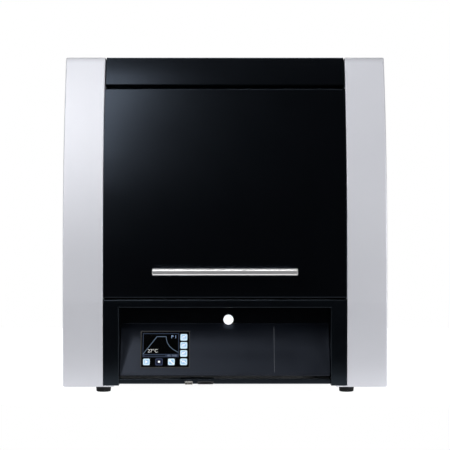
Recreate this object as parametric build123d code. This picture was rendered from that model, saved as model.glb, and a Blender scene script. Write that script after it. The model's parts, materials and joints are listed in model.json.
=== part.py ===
"""Bench-top dental sintering furnace: silver side panels, bowed door hinged at its top, muffle and electrics.

Millimetres. +Z is up, the front faces -Y, and the origin is under the middle of the whole object.
"""

from build123d import *

import math
import os

# ---------------------------------------------------------------- driving dimensions

CASE_WIDTH = 535.0
CASE_TOP = 560.0
FOOT_HEIGHT = 11.0
FRONT_Y = -274.0
SIDE_REAR_Y = 300.0
COVER_REAR_Y = 302.0
REAR_MOST_Y = 314.0

BOW_RADIUS = 1000.0
BOW_START = 225.0
LEAN_TOP = 150.0
LEAN_DEPTH = 5.0

SHEET = 2.0
CENTRE_HALF = 201.2
EDGE_ROUND = 2.4
INNER_BEND = 1.6
NEAR = 0.05
RETURN_DEPTH = 20.0
BOTTOM_FLANGE_HALF = 184.0

HEADER_HALF = 199.2
HEADER_BOTTOM = 510.9
HEADER_LIP_ROUND = 2.5
HEADER_REAR_Y = -195.0
BAFFLE_BOTTOM = 496.0

COVER_HALF = 225.0
COVER_BOTTOM = 14.0
COVER_SCREW_RADIUS = 2.0

DOOR_HALF = 200.4
DOOR_BOTTOM = 158.2
DOOR_TOP = 505.4
DOOR_REAR_Y = -208.0
DOOR_STEP_Z = 470.0
HINGE_OFFSET = 13.0
HINGE_PIN_RADIUS = 5.0
HINGE_CLEARANCE = 0.05

HANDLE_DIAMETER = 12.0
HANDLE_LENGTH = 236.5
HANDLE_Z = 201.5
HANDLE_Y = FRONT_Y - 34.0
HANDLE_POST_X = 95.0
HANDLE_POST_DIAMETER = 8.0

FASCIA_TOP = 155.5
FASCIA_BOTTOM = 13.0
FASCIA_WALL = 3.0
FASCIA_REAR_Y = -228.0
FASCIA_SIDE_REAR_Y = -252.0
NICHE_HALF = 175.0
NICHE_TOP = 141.9

PANEL_HALF = 174.6
PANEL_WALL = 3.0
PANEL_BACK_Y = -230.0
SLOPE_TOP = 113.4
SLOPE_BOTTOM = 28.7
SLOPE_FRONT_Y = -266.0
PANEL_RETURN = 2.5

LIP_BOTTOM = 15.4
LIP_TOP = 23.9
LIP_FRONT_Y = -265.5
LIP_FLOOR = 2.0

SCREEN_X = -99.5
SCREEN_WIDTH = 79.0
SCREEN_LENGTH = 61.4
SCREEN_RIM = 1.7

BUTTON_X = 5.7
BUTTON_Z = 119.8
BUTTON_DIAMETER = 16.6
BUTTON_THICKNESS = 3.4
BUTTON_TRAVEL = 1.0
BUTTON_SHANK_RADIUS = 6.0
BUTTON_BODY_RADIUS = 8.0
BUTTON_STAND_OFF = 3.0

SOCKET_TOP = 19.8
USB_X = -60.0
USB_WIDTH = 13.2
DATA_X = -32.3
DATA_WIDTH = 27.0
SOCKET_DEPTH = 18.0

FOOT_DIAMETER = 25.5
FOOT_X = 203.0
FOOT_FRONT_Y = -234.0
FOOT_REAR_Y = 250.0
FOOT_SCREW_RADIUS = 2.5
FOOT_SCREW_HEAD_RADIUS = 4.5
FOOT_RECESS = 6.0

CHAMBER_HALF_WIDTH = 75.0
CHAMBER_FLOOR = 260.0
CHAMBER_ROOF = 400.0
CHAMBER_REAR_Y = 0.0
BOARD = 90.0
REAR_BOARD = 86.0
MUFFLE_FRONT_Y = -202.0
MOUTH_TAPER = 15.0
MOUTH_DEPTH = 30.0
PLUG_DEPTH = 30.0
PLUG_HALF_WIDTH = 81.0
PLUG_HALF_HEIGHT = 76.0

POST_INNER_X = 209.0
POST_SIZE = 22.0
POST_WALL = 2.0
POST_FRONT_Y = -204.0
POST_REAR_Y = 270.0
POST_TOP = 555.0
RAIL_BOTTOM = 146.0

ELEMENT_X = 62.0
ELEMENT_CENTRES_Y = (-125.0, -45.0)
ELEMENT_LEG_SPACING = 40.0
ELEMENT_RADIUS = 3.0
ELEMENT_END_RADIUS = 6.0
ELEMENT_BOTTOM = 275.0
ELEMENT_TOP = 528.0

SENSOR_Z = 375.0
SENSOR_RADIUS = 4.0
EXHAUST_Y = -60.0
EXHAUST_BORE_RADIUS = 7.0
EXHAUST_RADIUS = 11.0

FAN_X = 110.0
FAN_Z = 420.0
FAN_SIZE = 120.0
FAN_DEPTH = 38.0
FAN_BORE_RADIUS = 57.0
FAN_BLADES = 7

FAN_SHAFT_RADIUS = 2.0

INLET_X = -170.0
INLET_BODY = (14.0, 12.0)
SWITCH_X = -112.0
SWITCH_BODY = (13.0, 9.0)
MAINS_Z = 62.0
ROCKER_Y = 294.0
ROCKER_TILT = 10.0
ROCKER_PIN_RADIUS = 1.5

CORE_Y = (140.0, 195.0)
CORE_LEG_HALF = 18.0
COOLER_X = (-185.0, -115.0)
COOLER_Y = 120.0
BOARD_X = (-85.0, 95.0)
BOARD_Y = (-190.0, -50.0)
STANDOFF_HEIGHT = 15.0
HOLDER_HEIGHT = 14.0
CLAMP_HALF = 9.0

# ---------------------------------------------------------------- derived dimensions

HALF = CASE_WIDTH / 2
BOW_CENTRE_Y = FRONT_Y + BOW_RADIUS
FLOOR_TOP = FOOT_HEIGHT + 2 * SHEET
HINGE_Z = DOOR_TOP - HINGE_OFFSET
HINGE_Y = BOW_CENTRE_Y - math.sqrt((BOW_RADIUS - HINGE_OFFSET) ** 2 - (HINGE_Z - BOW_START) ** 2)
CHAMBER_MIDDLE_Z = (CHAMBER_FLOOR + CHAMBER_ROOF) / 2
MUFFLE_HALF = CHAMBER_HALF_WIDTH + BOARD + SHEET
MUFFLE_BOTTOM = CHAMBER_FLOOR - BOARD - SHEET
MUFFLE_TOP = CHAMBER_ROOF + BOARD + SHEET
MUFFLE_REAR_Y = CHAMBER_REAR_Y + REAR_BOARD + SHEET
SLOPE_LENGTH = math.hypot(SLOPE_FRONT_Y - PANEL_BACK_Y, SLOPE_TOP - SLOPE_BOTTOM)
SLOPE_Y = (SLOPE_FRONT_Y - PANEL_BACK_Y) / SLOPE_LENGTH
SLOPE_Z = (SLOPE_BOTTOM - SLOPE_TOP) / SLOPE_LENGTH
PASS_CLEARANCE = 1.5

# ---------------------------------------------------------------- shape helpers


def box(x, y, z):
    """Block between the two limits given for each axis."""
    size = (x[1] - x[0], y[1] - y[0], z[1] - z[0])
    middle = ((x[0] + x[1]) / 2, (y[0] + y[1]) / 2, (z[0] + z[1]) / 2)
    return Pos(*middle) * Box(*size)


def rear_block(x, z, half, y):
    """Block along Y between the limits y, centred on x and z, with the half sizes given."""
    return box((x - half[0], x + half[0]), y, (z - half[1], z + half[1]))


def rod_x(x, y, z, radius):
    """Round rod along X between the limits x."""
    return Pos((x[0] + x[1]) / 2, y, z) * Rot(0, 90, 0) * Cylinder(radius, abs(x[1] - x[0]))


def rod_y(x, y, z, radius):
    """Round rod along Y between the limits y."""
    return Pos(x, (y[0] + y[1]) / 2, z) * Rot(90, 0, 0) * Cylinder(radius, abs(y[1] - y[0]))


def rod_z(x, y, z, radius):
    """Round rod along Z between the limits z."""
    return Pos(x, y, (z[0] + z[1]) / 2) * Cylinder(radius, abs(z[1] - z[0]))


def mirrored(shape):
    """The same shape on the other side of the middle plane."""
    return mirror(shape, about=Plane.YZ)


def both_sides(shape):
    """Two separate solids, one on each side."""
    return Compound(children=[*solids_of(shape), *solids_of(mirrored(shape))])


def solids_of(shape):
    """Every solid of a shape or list of shapes."""
    if isinstance(shape, (list, tuple)):
        return [solid for item in shape for solid in solids_of(item)]
    return list(shape.solids())


def group(shapes):
    """Separate solids kept together in one node."""
    return Compound(children=solids_of(shapes))


def front_y(z, inset=0.0):
    """Y of the casing's front surface at height z, or of the surface that lies inset behind it."""
    if z < LEAN_TOP:
        return FRONT_Y + inset + LEAN_DEPTH * (LEAN_TOP - z) / (LEAN_TOP - FOOT_HEIGHT)
    if z <= BOW_START:
        return FRONT_Y + inset
    return BOW_CENTRE_Y - math.sqrt((BOW_RADIUS - inset) ** 2 - (z - BOW_START) ** 2)


def front_edges(z_low, z_high, inset):
    """Edges of the front curve from z_low up to z_high: a lean, a straight stretch and the bow."""
    turns = [z for z in (LEAN_TOP, BOW_START) if z_low < z < z_high]
    heights = [z_low, *turns, z_high]
    edges = []
    for low, high in zip(heights, heights[1:]):
        start = (0, front_y(low, inset), low)
        end = (0, front_y(high, inset), high)
        middle = (0, front_y((low + high) / 2, inset), (low + high) / 2)
        if low >= BOW_START:
            edges.append(Edge.make_three_point_arc(start, middle, end))
        else:
            edges.append(Edge.make_line(start, end))
    return edges


def prism_x(edges, x):
    """Closed outline of edges in the plane X = 0, run along X between the limits x."""
    return Pos(x[0], 0, 0) * extrude(Face(Wire(edges)), amount=x[1] - x[0], dir=(1, 0, 0))


def closed_lines(points):
    """Straight edges through points, in order."""
    return [Edge.make_line(start, end) for start, end in zip(points, points[1:])]


def front_slab(x, z, inset, rear_y):
    """Block whose front follows the casing's front curve, inset behind it, with a flat back at rear_y."""
    low, high = z
    bottom_y, top_y = front_y(low, inset), front_y(high, inset)
    corners = [(0, top_y, high), (0, rear_y, high), (0, rear_y, low), (0, bottom_y, low)]
    return prism_x(front_edges(low, high, inset) + closed_lines(corners), x)


def polygon_x(points, x):
    """Prism along X with a straight-sided outline of (y, z) points."""
    corners = [(0, y, z) for y, z in points]
    return prism_x(closed_lines([*corners, corners[0]]), x)


def round_edges(shape, keep, radius):
    """Shape with every edge rounded whose centre keep accepts."""
    return fillet([edge for edge in shape.edges() if keep(edge.center())], radius)


# ---------------------------------------------------------------- outer casing


def side_panel():
    """Right-hand panel: one bent sheet with its front face, outer side, top, back and bottom flange."""
    low, high = FOOT_HEIGHT + SHEET, CASE_TOP - SHEET
    block = front_slab((CENTRE_HALF, HALF), (FOOT_HEIGHT, CASE_TOP), 0, SIDE_REAR_Y)
    block = round_edges(block, lambda c: abs(c.X - HALF) < NEAR, EDGE_ROUND)
    top_front_y = front_y(CASE_TOP)
    block = round_edges(block, lambda c: c.Z > CASE_TOP - NEAR and abs(c.Y - top_front_y) < NEAR, EDGE_ROUND)
    block = round_edges(
        block,
        lambda c: abs(c.X - CENTRE_HALF) < NEAR and c.Z > LEAN_TOP and c.Y < front_y(high),
        INNER_BEND,
    )
    hollow = front_slab((CENTRE_HALF - SHEET, HALF - SHEET), (low, high), SHEET, SIDE_REAR_Y - SHEET)
    hollow = round_edges(hollow, lambda c: abs(c.X - (HALF - SHEET)) < NEAR, EDGE_ROUND - SHEET)
    rim = front_slab((CENTRE_HALF, CENTRE_HALF + SHEET), (low, high), SHEET, SIDE_REAR_Y - SHEET)
    rim -= front_slab((CENTRE_HALF - 1, CENTRE_HALF + SHEET + 1), (low, high), RETURN_DEPTH, SIDE_REAR_Y)
    flange = front_slab((BOTTOM_FLANGE_HALF, CENTRE_HALF), (FOOT_HEIGHT, low), 0, SIDE_REAR_Y)
    panel = block - hollow + rim + flange
    pin_hole = (CENTRE_HALF - 1, CENTRE_HALF + SHEET + 1)
    panel -= rod_x(pin_hole, HINGE_Y, HINGE_Z, HINGE_PIN_RADIUS + PASS_CLEARANCE)
    for foot_y in (FOOT_FRONT_Y, FOOT_REAR_Y):
        panel -= rod_z(FOOT_X, foot_y, (FOOT_HEIGHT - 1, low + 1), FOOT_SCREW_RADIUS)
    return panel


def top_cover():
    """Black top plate with its vent holes, the header above the door, and a baffle hung behind the gap."""
    header = front_slab((-HEADER_HALF, HEADER_HALF), (HEADER_BOTTOM, CASE_TOP), 0, HEADER_REAR_Y)
    front_limit = HEADER_REAR_Y - 5

    def across(c):
        return abs(c.X) < 1 and c.Y < front_limit

    header = round_edges(header, lambda c: across(c) and c.Z > CASE_TOP - NEAR, EDGE_ROUND)
    header = round_edges(header, lambda c: across(c) and c.Z < HEADER_BOTTOM + NEAR, HEADER_LIP_ROUND)
    inner_half = HEADER_HALF - SHEET
    inner_z = (HEADER_BOTTOM + SHEET, CASE_TOP - SHEET)
    header -= front_slab((-inner_half, inner_half), inner_z, SHEET, HEADER_REAR_Y + 5)
    plate = box((-HEADER_HALF, HEADER_HALF), (HEADER_REAR_Y, SIDE_REAR_Y), (CASE_TOP - SHEET, CASE_TOP))
    baffle_z = (BAFFLE_BOTTOM, HEADER_BOTTOM + SHEET)
    plate += box((-HEADER_HALF, HEADER_HALF), (HEADER_REAR_Y - SHEET, HEADER_REAR_Y), baffle_z)
    slot_length, slot_width, slot_pitch = 60.0, 5.0, 12.0
    first_slot_y = 150.0
    cuts = []
    for slot_x in (-70.0, 70.0):
        for row in range(8):
            place = Pos(slot_x, first_slot_y + row * slot_pitch, CASE_TOP - SHEET / 2)
            cuts.append(place * extrude(SlotOverall(slot_length, slot_width), amount=SHEET, both=True))
    vent_pitch, vent_radius = 7.0, 2.2
    through = (CASE_TOP - SHEET - 1, CASE_TOP + 1)
    cuts.append(rod_z(0, EXHAUST_Y, through, vent_radius))
    for step in range(6):
        angle = math.radians(60 * step)
        x, y = vent_pitch * math.cos(angle), EXHAUST_Y + vent_pitch * math.sin(angle)
        cuts.append(rod_z(x, y, through, vent_radius))
    return header + plate - cuts


def rear_cover():
    """Flat plate screwed over the back, with cooling slots, the fan opening and the mains cut-outs."""
    y = (SIDE_REAR_Y, COVER_REAR_Y)
    cut_y = (y[0] - 1, y[1] + 1)
    plate = box((-COVER_HALF, COVER_HALF), y, (COVER_BOTTOM, CASE_TOP - 1))
    plate = fillet(plate.edges().filter_by(Axis.Y), 6)
    cuts = [rod_y(FAN_X, cut_y, FAN_Z, FAN_BORE_RADIUS)]
    slot_length, slot_width, slot_pitch = 64.0, 5.0, 12.0
    first_slot_z = 330.0
    for row in range(9):
        for slot_x in (-150.0, -70.0):
            place = Pos(slot_x, y[0], first_slot_z + row * slot_pitch) * Rot(90, 0, 0)
            cuts.append(place * extrude(SlotOverall(slot_length, slot_width), amount=2 * SHEET, both=True))
    inlet_half = (INLET_BODY[0] + 0.2, INLET_BODY[1] + 0.2)
    switch_half = (SWITCH_BODY[0] + 0.2, SWITCH_BODY[1] + 0.2)
    for x, half in ((INLET_X, inlet_half), (SWITCH_X, switch_half)):
        cuts.append(rear_block(x, MAINS_Z, half, cut_y))
    for x, z in cover_screw_places():
        cuts.append(rod_y(x, cut_y, z, COVER_SCREW_RADIUS))
    return plate - cuts


def cover_screw_places():
    """Centres (x, z) of the screws round the rear cover's edge."""
    first_z, pitch = 70.0, 135.0
    return [(side * (COVER_HALF - 11), first_z + row * pitch) for side in (-1, 1) for row in range(4)]


def cover_screws():
    """Pan-head screws through the rear cover into the side panels' back flanges."""
    head_radius, head_height = 3.9, 2.2
    cross_long, cross_wide, cross_depth = 4.8, 1.0, 1.2
    top = COVER_REAR_Y + head_height
    screws = []
    for x, z in cover_screw_places():
        head = rod_y(x, (COVER_REAR_Y, top), z, head_radius)
        head = fillet(head.edges().sort_by(Axis.Y)[-1], 1.2)
        middle = Pos(x, top, z)
        cross = middle * Box(cross_long, 2 * cross_depth, cross_wide)
        cross += middle * Box(cross_wide, 2 * cross_depth, cross_long)
        screws.append(head - cross + rod_y(x, (SIDE_REAR_Y, COVER_REAR_Y), z, COVER_SCREW_RADIUS))
    return group(screws)


def base_tray():
    """Folded floor tray that carries the chassis, with upturned edges."""
    low = FOOT_HEIGHT + SHEET
    outer = HALF - SHEET - 3.5
    edge_top = 40.0
    front_y_limit = FASCIA_REAR_Y + 0.5
    tray = box((-outer, outer), (front_y_limit, SIDE_REAR_Y - SHEET), (low, FLOOR_TOP))
    tray += box((-PANEL_HALF, PANEL_HALF), (PANEL_BACK_Y, front_y_limit), (low, SLOPE_BOTTOM + PANEL_RETURN))
    tray += box((-CENTRE_HALF + 0.4, CENTRE_HALF - 0.4), (SIDE_REAR_Y - SHEET, SIDE_REAR_Y), (low, edge_top))
    for side in (-1, 1):
        x = sorted((side * (outer - SHEET), side * outer))
        tray += box(x, (front_y_limit + SHEET, SIDE_REAR_Y - SHEET - 1), (FLOOR_TOP, edge_top))
        tray -= rod_z(side * FOOT_X, FOOT_REAR_Y, (low - 1, FLOOR_TOP + 1), FOOT_SCREW_RADIUS)
    slot_length, slot_width, slot_pitch = 90.0, 6.0, 16.0
    first_slot_y = -150.0
    for row in range(6):
        place = Pos(0, first_slot_y + row * slot_pitch, low + SHEET / 2)
        tray -= place * extrude(SlotOverall(slot_length, slot_width), amount=SHEET, both=True)
    return tray


def feet():
    """Round rubber feet with a rounded lower edge and a counterbore for the screw head."""
    draft = 4.0
    lower_radius = FOOT_DIAMETER / 2 - FOOT_HEIGHT * math.tan(math.radians(draft))
    shapes = []
    for x in (-FOOT_X, FOOT_X):
        for y in (FOOT_FRONT_Y, FOOT_REAR_Y):
            foot = Pos(x, y, 0) * extrude(Circle(lower_radius), amount=FOOT_HEIGHT, taper=-draft)
            foot = fillet(foot.edges().sort_by(Axis.Z)[0], 2.2)
            foot -= rod_z(x, y, (0, FOOT_RECESS), FOOT_SCREW_HEAD_RADIUS + 0.5)
            foot -= rod_z(x, y, (FOOT_RECESS - 1, FOOT_HEIGHT), FOOT_SCREW_RADIUS)
            shapes.append(foot)
    return group(shapes)


def foot_screws():
    """Screws that hold the feet, each with its nut inside the casing."""
    nut_radius, nut_height, head_height = 4.6, 4.0, 3.0
    shapes = []
    for x in (-FOOT_X, FOOT_X):
        for y, seat in ((FOOT_FRONT_Y, FOOT_HEIGHT + SHEET), (FOOT_REAR_Y, FLOOR_TOP)):
            end = seat + nut_height + 2
            screw = rod_z(x, y, (FOOT_RECESS - head_height, FOOT_RECESS), FOOT_SCREW_HEAD_RADIUS)
            screw += rod_z(x, y, (FOOT_RECESS, end), FOOT_SCREW_RADIUS)
            nut = Pos(x, y, seat) * extrude(RegularPolygon(nut_radius, 6), amount=nut_height)
            shapes.extend([screw, nut - rod_z(x, y, (seat, end), FOOT_SCREW_RADIUS)])
    return group(shapes)


def rear_spacers():
    """Rubber buffers that keep the back away from a wall."""
    radius = 11.0
    shapes = []
    for x in (-185, 185):
        for z in (110, 515):
            buffer = rod_y(x, (COVER_REAR_Y, REAR_MOST_Y), z, radius)
            shapes.append(fillet(buffer.edges().sort_by(Axis.Y)[-1], 2))
    return group(shapes)


# ---------------------------------------------------------------- lower front


def lower_fascia():
    """Black moulded frame round three sides of the control niche, hollow behind its face."""
    face = front_slab((-CENTRE_HALF, CENTRE_HALF), (FASCIA_BOTTOM, FASCIA_TOP), 0, FASCIA_REAR_Y)
    face = round_edges(face, lambda c: c.Z > FASCIA_TOP - NEAR and c.Y < FRONT_Y + 2, 2.5)
    face -= front_slab((-NICHE_HALF, NICHE_HALF), (FASCIA_BOTTOM - 1, NICHE_TOP), -5, FASCIA_REAR_Y + 1)

    def on_niche_rim(c):
        inside = abs(c.X) < NICHE_HALF + NEAR and FASCIA_BOTTOM + NEAR < c.Z < NICHE_TOP + NEAR
        return inside and c.Y < FRONT_Y + LEAN_DEPTH + 1

    face = round_edges(face, on_niche_rim, 1.5)
    inner_x = NICHE_HALF + FASCIA_WALL
    outer_x = CENTRE_HALF - FASCIA_WALL
    channel_z = (FASCIA_BOTTOM + FASCIA_WALL, FASCIA_TOP - FASCIA_WALL)
    channel = front_slab((-outer_x, outer_x), channel_z, FASCIA_WALL, FASCIA_REAR_Y + 5)
    niche_walls = box((-inner_x, inner_x), (FRONT_Y - 5, FASCIA_REAR_Y + 5), (0, NICHE_TOP + FASCIA_WALL))
    face -= channel - niche_walls
    behind = (FASCIA_SIDE_REAR_Y, FASCIA_REAR_Y + 1)
    for side in (-1, 1):
        x = sorted((side * (inner_x + 0.01), side * (CENTRE_HALF + 1)))
        face -= box(x, behind, (FASCIA_BOTTOM - 1, channel_z[1]))
    return face


def slope_plane():
    """Plane on the sloping panel's outer face: origin at its top edge, local Y up the slope."""
    return Plane(origin=(0, PANEL_BACK_Y, SLOPE_TOP), x_dir=(1, 0, 0), z_dir=(0, SLOPE_Z, -SLOPE_Y))


def screen_plane():
    """Plane of the sloping panel's face, centred on the display."""
    return slope_plane() * Pos(SCREEN_X, -46.0, 0)


def slope_box(width, length, low, high):
    """Block centred on the display and parallel to the slope, between two heights above the panel's face."""
    return screen_plane() * Pos(0, 0, (low + high) / 2) * Box(width, length, high - low)


def control_panel():
    """Moulded panel: upright band at the niche's back, sloping face below it, and a return at the bottom."""
    inner_y = PANEL_BACK_Y + PANEL_WALL
    inner_top_z = SLOPE_TOP - PANEL_WALL * math.tan((math.pi / 2 - math.atan2(-SLOPE_Z, -SLOPE_Y)) / 2)
    return_top = SLOPE_BOTTOM + PANEL_RETURN
    run_down = (inner_top_z - return_top) * SLOPE_Y / SLOPE_Z
    outline = [
        (PANEL_BACK_Y, NICHE_TOP),
        (PANEL_BACK_Y, SLOPE_TOP),
        (SLOPE_FRONT_Y, SLOPE_BOTTOM),
        (PANEL_BACK_Y, SLOPE_BOTTOM),
        (PANEL_BACK_Y, return_top),
        (inner_y - run_down, return_top),
        (inner_y, inner_top_z),
        (inner_y, NICHE_TOP),
    ]
    panel = polygon_x(outline, (-PANEL_HALF, PANEL_HALF))
    end_x = PANEL_HALF - NEAR
    panel = round_edges(panel, lambda c: c.Z < SLOPE_BOTTOM + NEAR and abs(c.X) > end_x, 2.2)
    middle_y = (PANEL_BACK_Y + SLOPE_FRONT_Y) / 2

    def on_front_rim(c):
        """Whether an edge's centre c is on the sloping face's two sides, its lower corners or its nose."""
        beside = abs(c.X) > end_x and abs(c.Y - middle_y) < 1 and c.Z > SLOPE_BOTTOM + 10
        below = c.Y < SLOPE_FRONT_Y + 1 and c.Z < SLOPE_BOTTOM + 2
        return beside or below

    panel = round_edges(panel, on_front_rim, 1.4)
    window = slope_box(SCREEN_WIDTH + 2 * SCREEN_RIM, SCREEN_LENGTH + 2 * SCREEN_RIM, -8, 2)
    return panel - window - rod_y(BUTTON_X, (PANEL_BACK_Y - 1, inner_y + 1), BUTTON_Z, 8.0)


def display_frame():
    """Thin rim round the display's glass, with a wider flange behind the panel."""
    back = -PANEL_WALL
    rim = slope_box(SCREEN_WIDTH + 2 * SCREEN_RIM, SCREEN_LENGTH + 2 * SCREEN_RIM, back - 2, 0.5)
    rim += slope_box(SCREEN_WIDTH + 12, SCREEN_LENGTH + 8, back - 2, back)
    return rim - slope_box(SCREEN_WIDTH, SCREEN_LENGTH, back - 3, 1)


def touch_screen():
    """Glass of the display, just below the rim."""
    return slope_box(SCREEN_WIDTH, SCREEN_LENGTH, -2, 0.2)


def display_module():
    """Display panel and its circuit board behind the glass."""
    module = slope_box(SCREEN_WIDTH - 2, SCREEN_LENGTH - 2, -7, -2)
    return module + slope_box(SCREEN_WIDTH + 12, SCREEN_LENGTH + 6, -8.6, -7)


def button_housing():
    """Housing of the round button: a neck through the panel, and a body with a flange behind it."""
    inner_y = PANEL_BACK_Y + PANEL_WALL
    flange, depth = 2.5, 20.0
    housing = rod_y(BUTTON_X, (PANEL_BACK_Y - 0.6, inner_y + depth), BUTTON_Z, BUTTON_BODY_RADIUS)
    housing += rod_y(BUTTON_X, (inner_y, inner_y + flange), BUTTON_Z, BUTTON_BODY_RADIUS + 3)
    bore = (PANEL_BACK_Y - 2, inner_y + depth - 3)
    return housing - rod_y(BUTTON_X, bore, BUTTON_Z, BUTTON_SHANK_RADIUS + 0.05)


def start_button():
    """Translucent cap with a rounded face, on a shank that slides in the housing."""
    cap_back = PANEL_BACK_Y - BUTTON_STAND_OFF
    cap = rod_y(BUTTON_X, (cap_back - BUTTON_THICKNESS, cap_back), BUTTON_Z, BUTTON_DIAMETER / 2)
    cap = fillet(cap.edges().sort_by(Axis.Y)[0], 0.8)
    bore_end = PANEL_BACK_Y + PANEL_WALL + 17
    return cap + rod_y(BUTTON_X, (cap_back, bore_end - BUTTON_TRAVEL - 2.5), BUTTON_Z, BUTTON_SHANK_RADIUS)


def lower_lip():
    """Strip under the sloping panel, notched below for the two sockets."""
    bar = box((-PANEL_HALF, PANEL_HALF), (LIP_FRONT_Y, LIP_FRONT_Y + 3.5), (LIP_BOTTOM, LIP_TOP))
    bar += box((-PANEL_HALF, PANEL_HALF), (LIP_FRONT_Y, PANEL_BACK_Y), (LIP_BOTTOM, LIP_BOTTOM + LIP_FLOOR))
    front = [edge for edge in bar.edges().filter_by(Axis.X) if abs(edge.center().Y - LIP_FRONT_Y) < 0.01]
    bar = fillet(front, 1.4)
    for x, width in ((USB_X, USB_WIDTH), (DATA_X, DATA_WIDTH)):
        half = width / 2 + 0.4
        notch_y = (LIP_FRONT_Y - 1, LIP_FRONT_Y + SOCKET_DEPTH + 1)
        bar -= box((x - half, x + half), notch_y, (LIP_BOTTOM - 1, SOCKET_TOP + 0.1))
    bar += box((USB_X - half, DATA_X + half), (-246, -242), (LIP_BOTTOM + LIP_FLOOR, LIP_TOP))
    return bar


def usb_socket():
    """Pressed steel socket shell with its contact tongue."""
    y = (LIP_FRONT_Y + 0.3, LIP_FRONT_Y + SOCKET_DEPTH)
    z = (SOCKET_TOP - 5.5, SOCKET_TOP)
    shell = box((USB_X - USB_WIDTH / 2, USB_X + USB_WIDTH / 2), y, z)
    shell -= box((USB_X - 6.2, USB_X + 6.2), (y[0] - 1, y[1] - 2), (z[0] + 0.4, z[1] - 0.4))
    tongue = box((USB_X - 5.4, USB_X + 5.4), (y[0] + 2, y[1] - 2), (z[1] - 2.4, z[1] - 0.4))
    return shell + tongue


def data_socket():
    """Dark service connector beside it, with rounded ends and a slot."""
    y = (LIP_FRONT_Y + 0.3, LIP_FRONT_Y + SOCKET_DEPTH)
    z = (SOCKET_TOP - 5.0, SOCKET_TOP)
    body = box((DATA_X - DATA_WIDTH / 2, DATA_X + DATA_WIDTH / 2), y, z)
    body = fillet(body.edges().filter_by(Axis.Y), 1.8)
    return body - box((DATA_X - 9, DATA_X + 9), (y[0] - 1, y[0] + 8), (z[0] + 1.5, z[1] - 1.5))


# ---------------------------------------------------------------- chassis


def chassis_posts():
    """Four upright square tubes inside the side channels."""
    posts = []
    x = (POST_INNER_X, POST_INNER_X + POST_SIZE)
    inner_x = (x[0] + POST_WALL, x[1] - POST_WALL)
    for start in (POST_FRONT_Y, POST_REAR_Y):
        y = (start, start + POST_SIZE)
        inner_y = (y[0] + POST_WALL, y[1] - POST_WALL)
        tube = box(x, y, (FLOOR_TOP, POST_TOP)) - box(inner_x, inner_y, (FLOOR_TOP - 1, POST_TOP + 1))
        posts.append(tube)
    return group([posts, [mirrored(post) for post in posts]])


def chassis_rails():
    """Rails between the posts: two across under the muffle, two along each side, flat ones on top."""
    top = RAIL_BOTTOM + POST_SIZE
    inner_z = (RAIL_BOTTOM + POST_WALL, top - POST_WALL)
    rails = []
    for start in (POST_FRONT_Y, MUFFLE_REAR_Y - 2 - POST_SIZE):
        y = (start, start + POST_SIZE)
        hollow = box((-POST_INNER_X - 1, POST_INNER_X + 1), (y[0] + POST_WALL, y[1] - POST_WALL), inner_z)
        rails.append(box((-POST_INNER_X, POST_INNER_X), y, (RAIL_BOTTOM, top)) - hollow)
    x = (POST_INNER_X, POST_INNER_X + POST_SIZE)
    y = (POST_FRONT_Y + POST_SIZE, POST_REAR_Y)
    side = box(x, y, (RAIL_BOTTOM, top)) - box((x[0] + 2, x[1] - 2), (y[0] - 1, y[1] + 1), inner_z)
    flat_y = (HEADER_REAR_Y + PASS_CLEARANCE, POST_REAR_Y + POST_SIZE)
    flat = box((190, x[1]), flat_y, (POST_TOP, POST_TOP + 3))
    for rail in (side, flat):
        rails.extend([rail, mirrored(rail)])
    return group(rails)


def hinge_brackets():
    """Steel cheek plates on the front posts, each bored for a door hinge pin."""
    x = (CENTRE_HALF + SHEET + 0.8, POST_INNER_X)
    nose = rod_x(x, HINGE_Y, HINGE_Z, 10)
    arm = box(x, (HINGE_Y, POST_FRONT_Y + 18), (HINGE_Z - 26, HINGE_Z + 10))
    plate = nose + arm - rod_x((x[0] - 1, x[1] + 1), HINGE_Y, HINGE_Z, HINGE_PIN_RADIUS + HINGE_CLEARANCE)
    return both_sides(plate)


def hinge_cartridges():
    """Friction cartridges outboard of the cheek plates, which hold the door where it is left."""
    x = (POST_INNER_X, POST_INNER_X + 36)
    barrel = rod_x(x, HINGE_Y, HINGE_Z, 9.8)
    barrel = fillet(barrel.edges().filter_by(GeomType.CIRCLE).sort_by(Axis.X)[-1], 1.5)
    barrel -= rod_x((x[0] - 1, x[0] + 28), HINGE_Y, HINGE_Z, HINGE_PIN_RADIUS + HINGE_CLEARANCE)
    return both_sides(barrel)


# ---------------------------------------------------------------- muffle


def mouth_frustum(y, half_width, half_height, depth):
    """Tapered block that narrows towards +Y, centred on the chamber."""
    plane = Plane(origin=(0, y, CHAMBER_MIDDLE_Z), x_dir=(1, 0, 0), z_dir=(0, 1, 0))
    return extrude(plane * Rectangle(2 * half_width, 2 * half_height), amount=depth, taper=MOUTH_TAPER)


def chamber_mouth():
    """Flared space at the front of the chamber that takes the door's insulation plug."""
    flare = MOUTH_DEPTH * math.tan(math.radians(MOUTH_TAPER))
    half_height = (CHAMBER_ROOF - CHAMBER_FLOOR) / 2
    return mouth_frustum(MUFFLE_FRONT_Y, CHAMBER_HALF_WIDTH + flare, half_height + flare, MOUTH_DEPTH)


def element_legs():
    """Centres (x, y) of the heating elements' legs."""
    half = ELEMENT_LEG_SPACING / 2
    sides = (-ELEMENT_X, ELEMENT_X)
    return [(x, centre + end) for x in sides for centre in ELEMENT_CENTRES_Y for end in (-half, half)]


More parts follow.
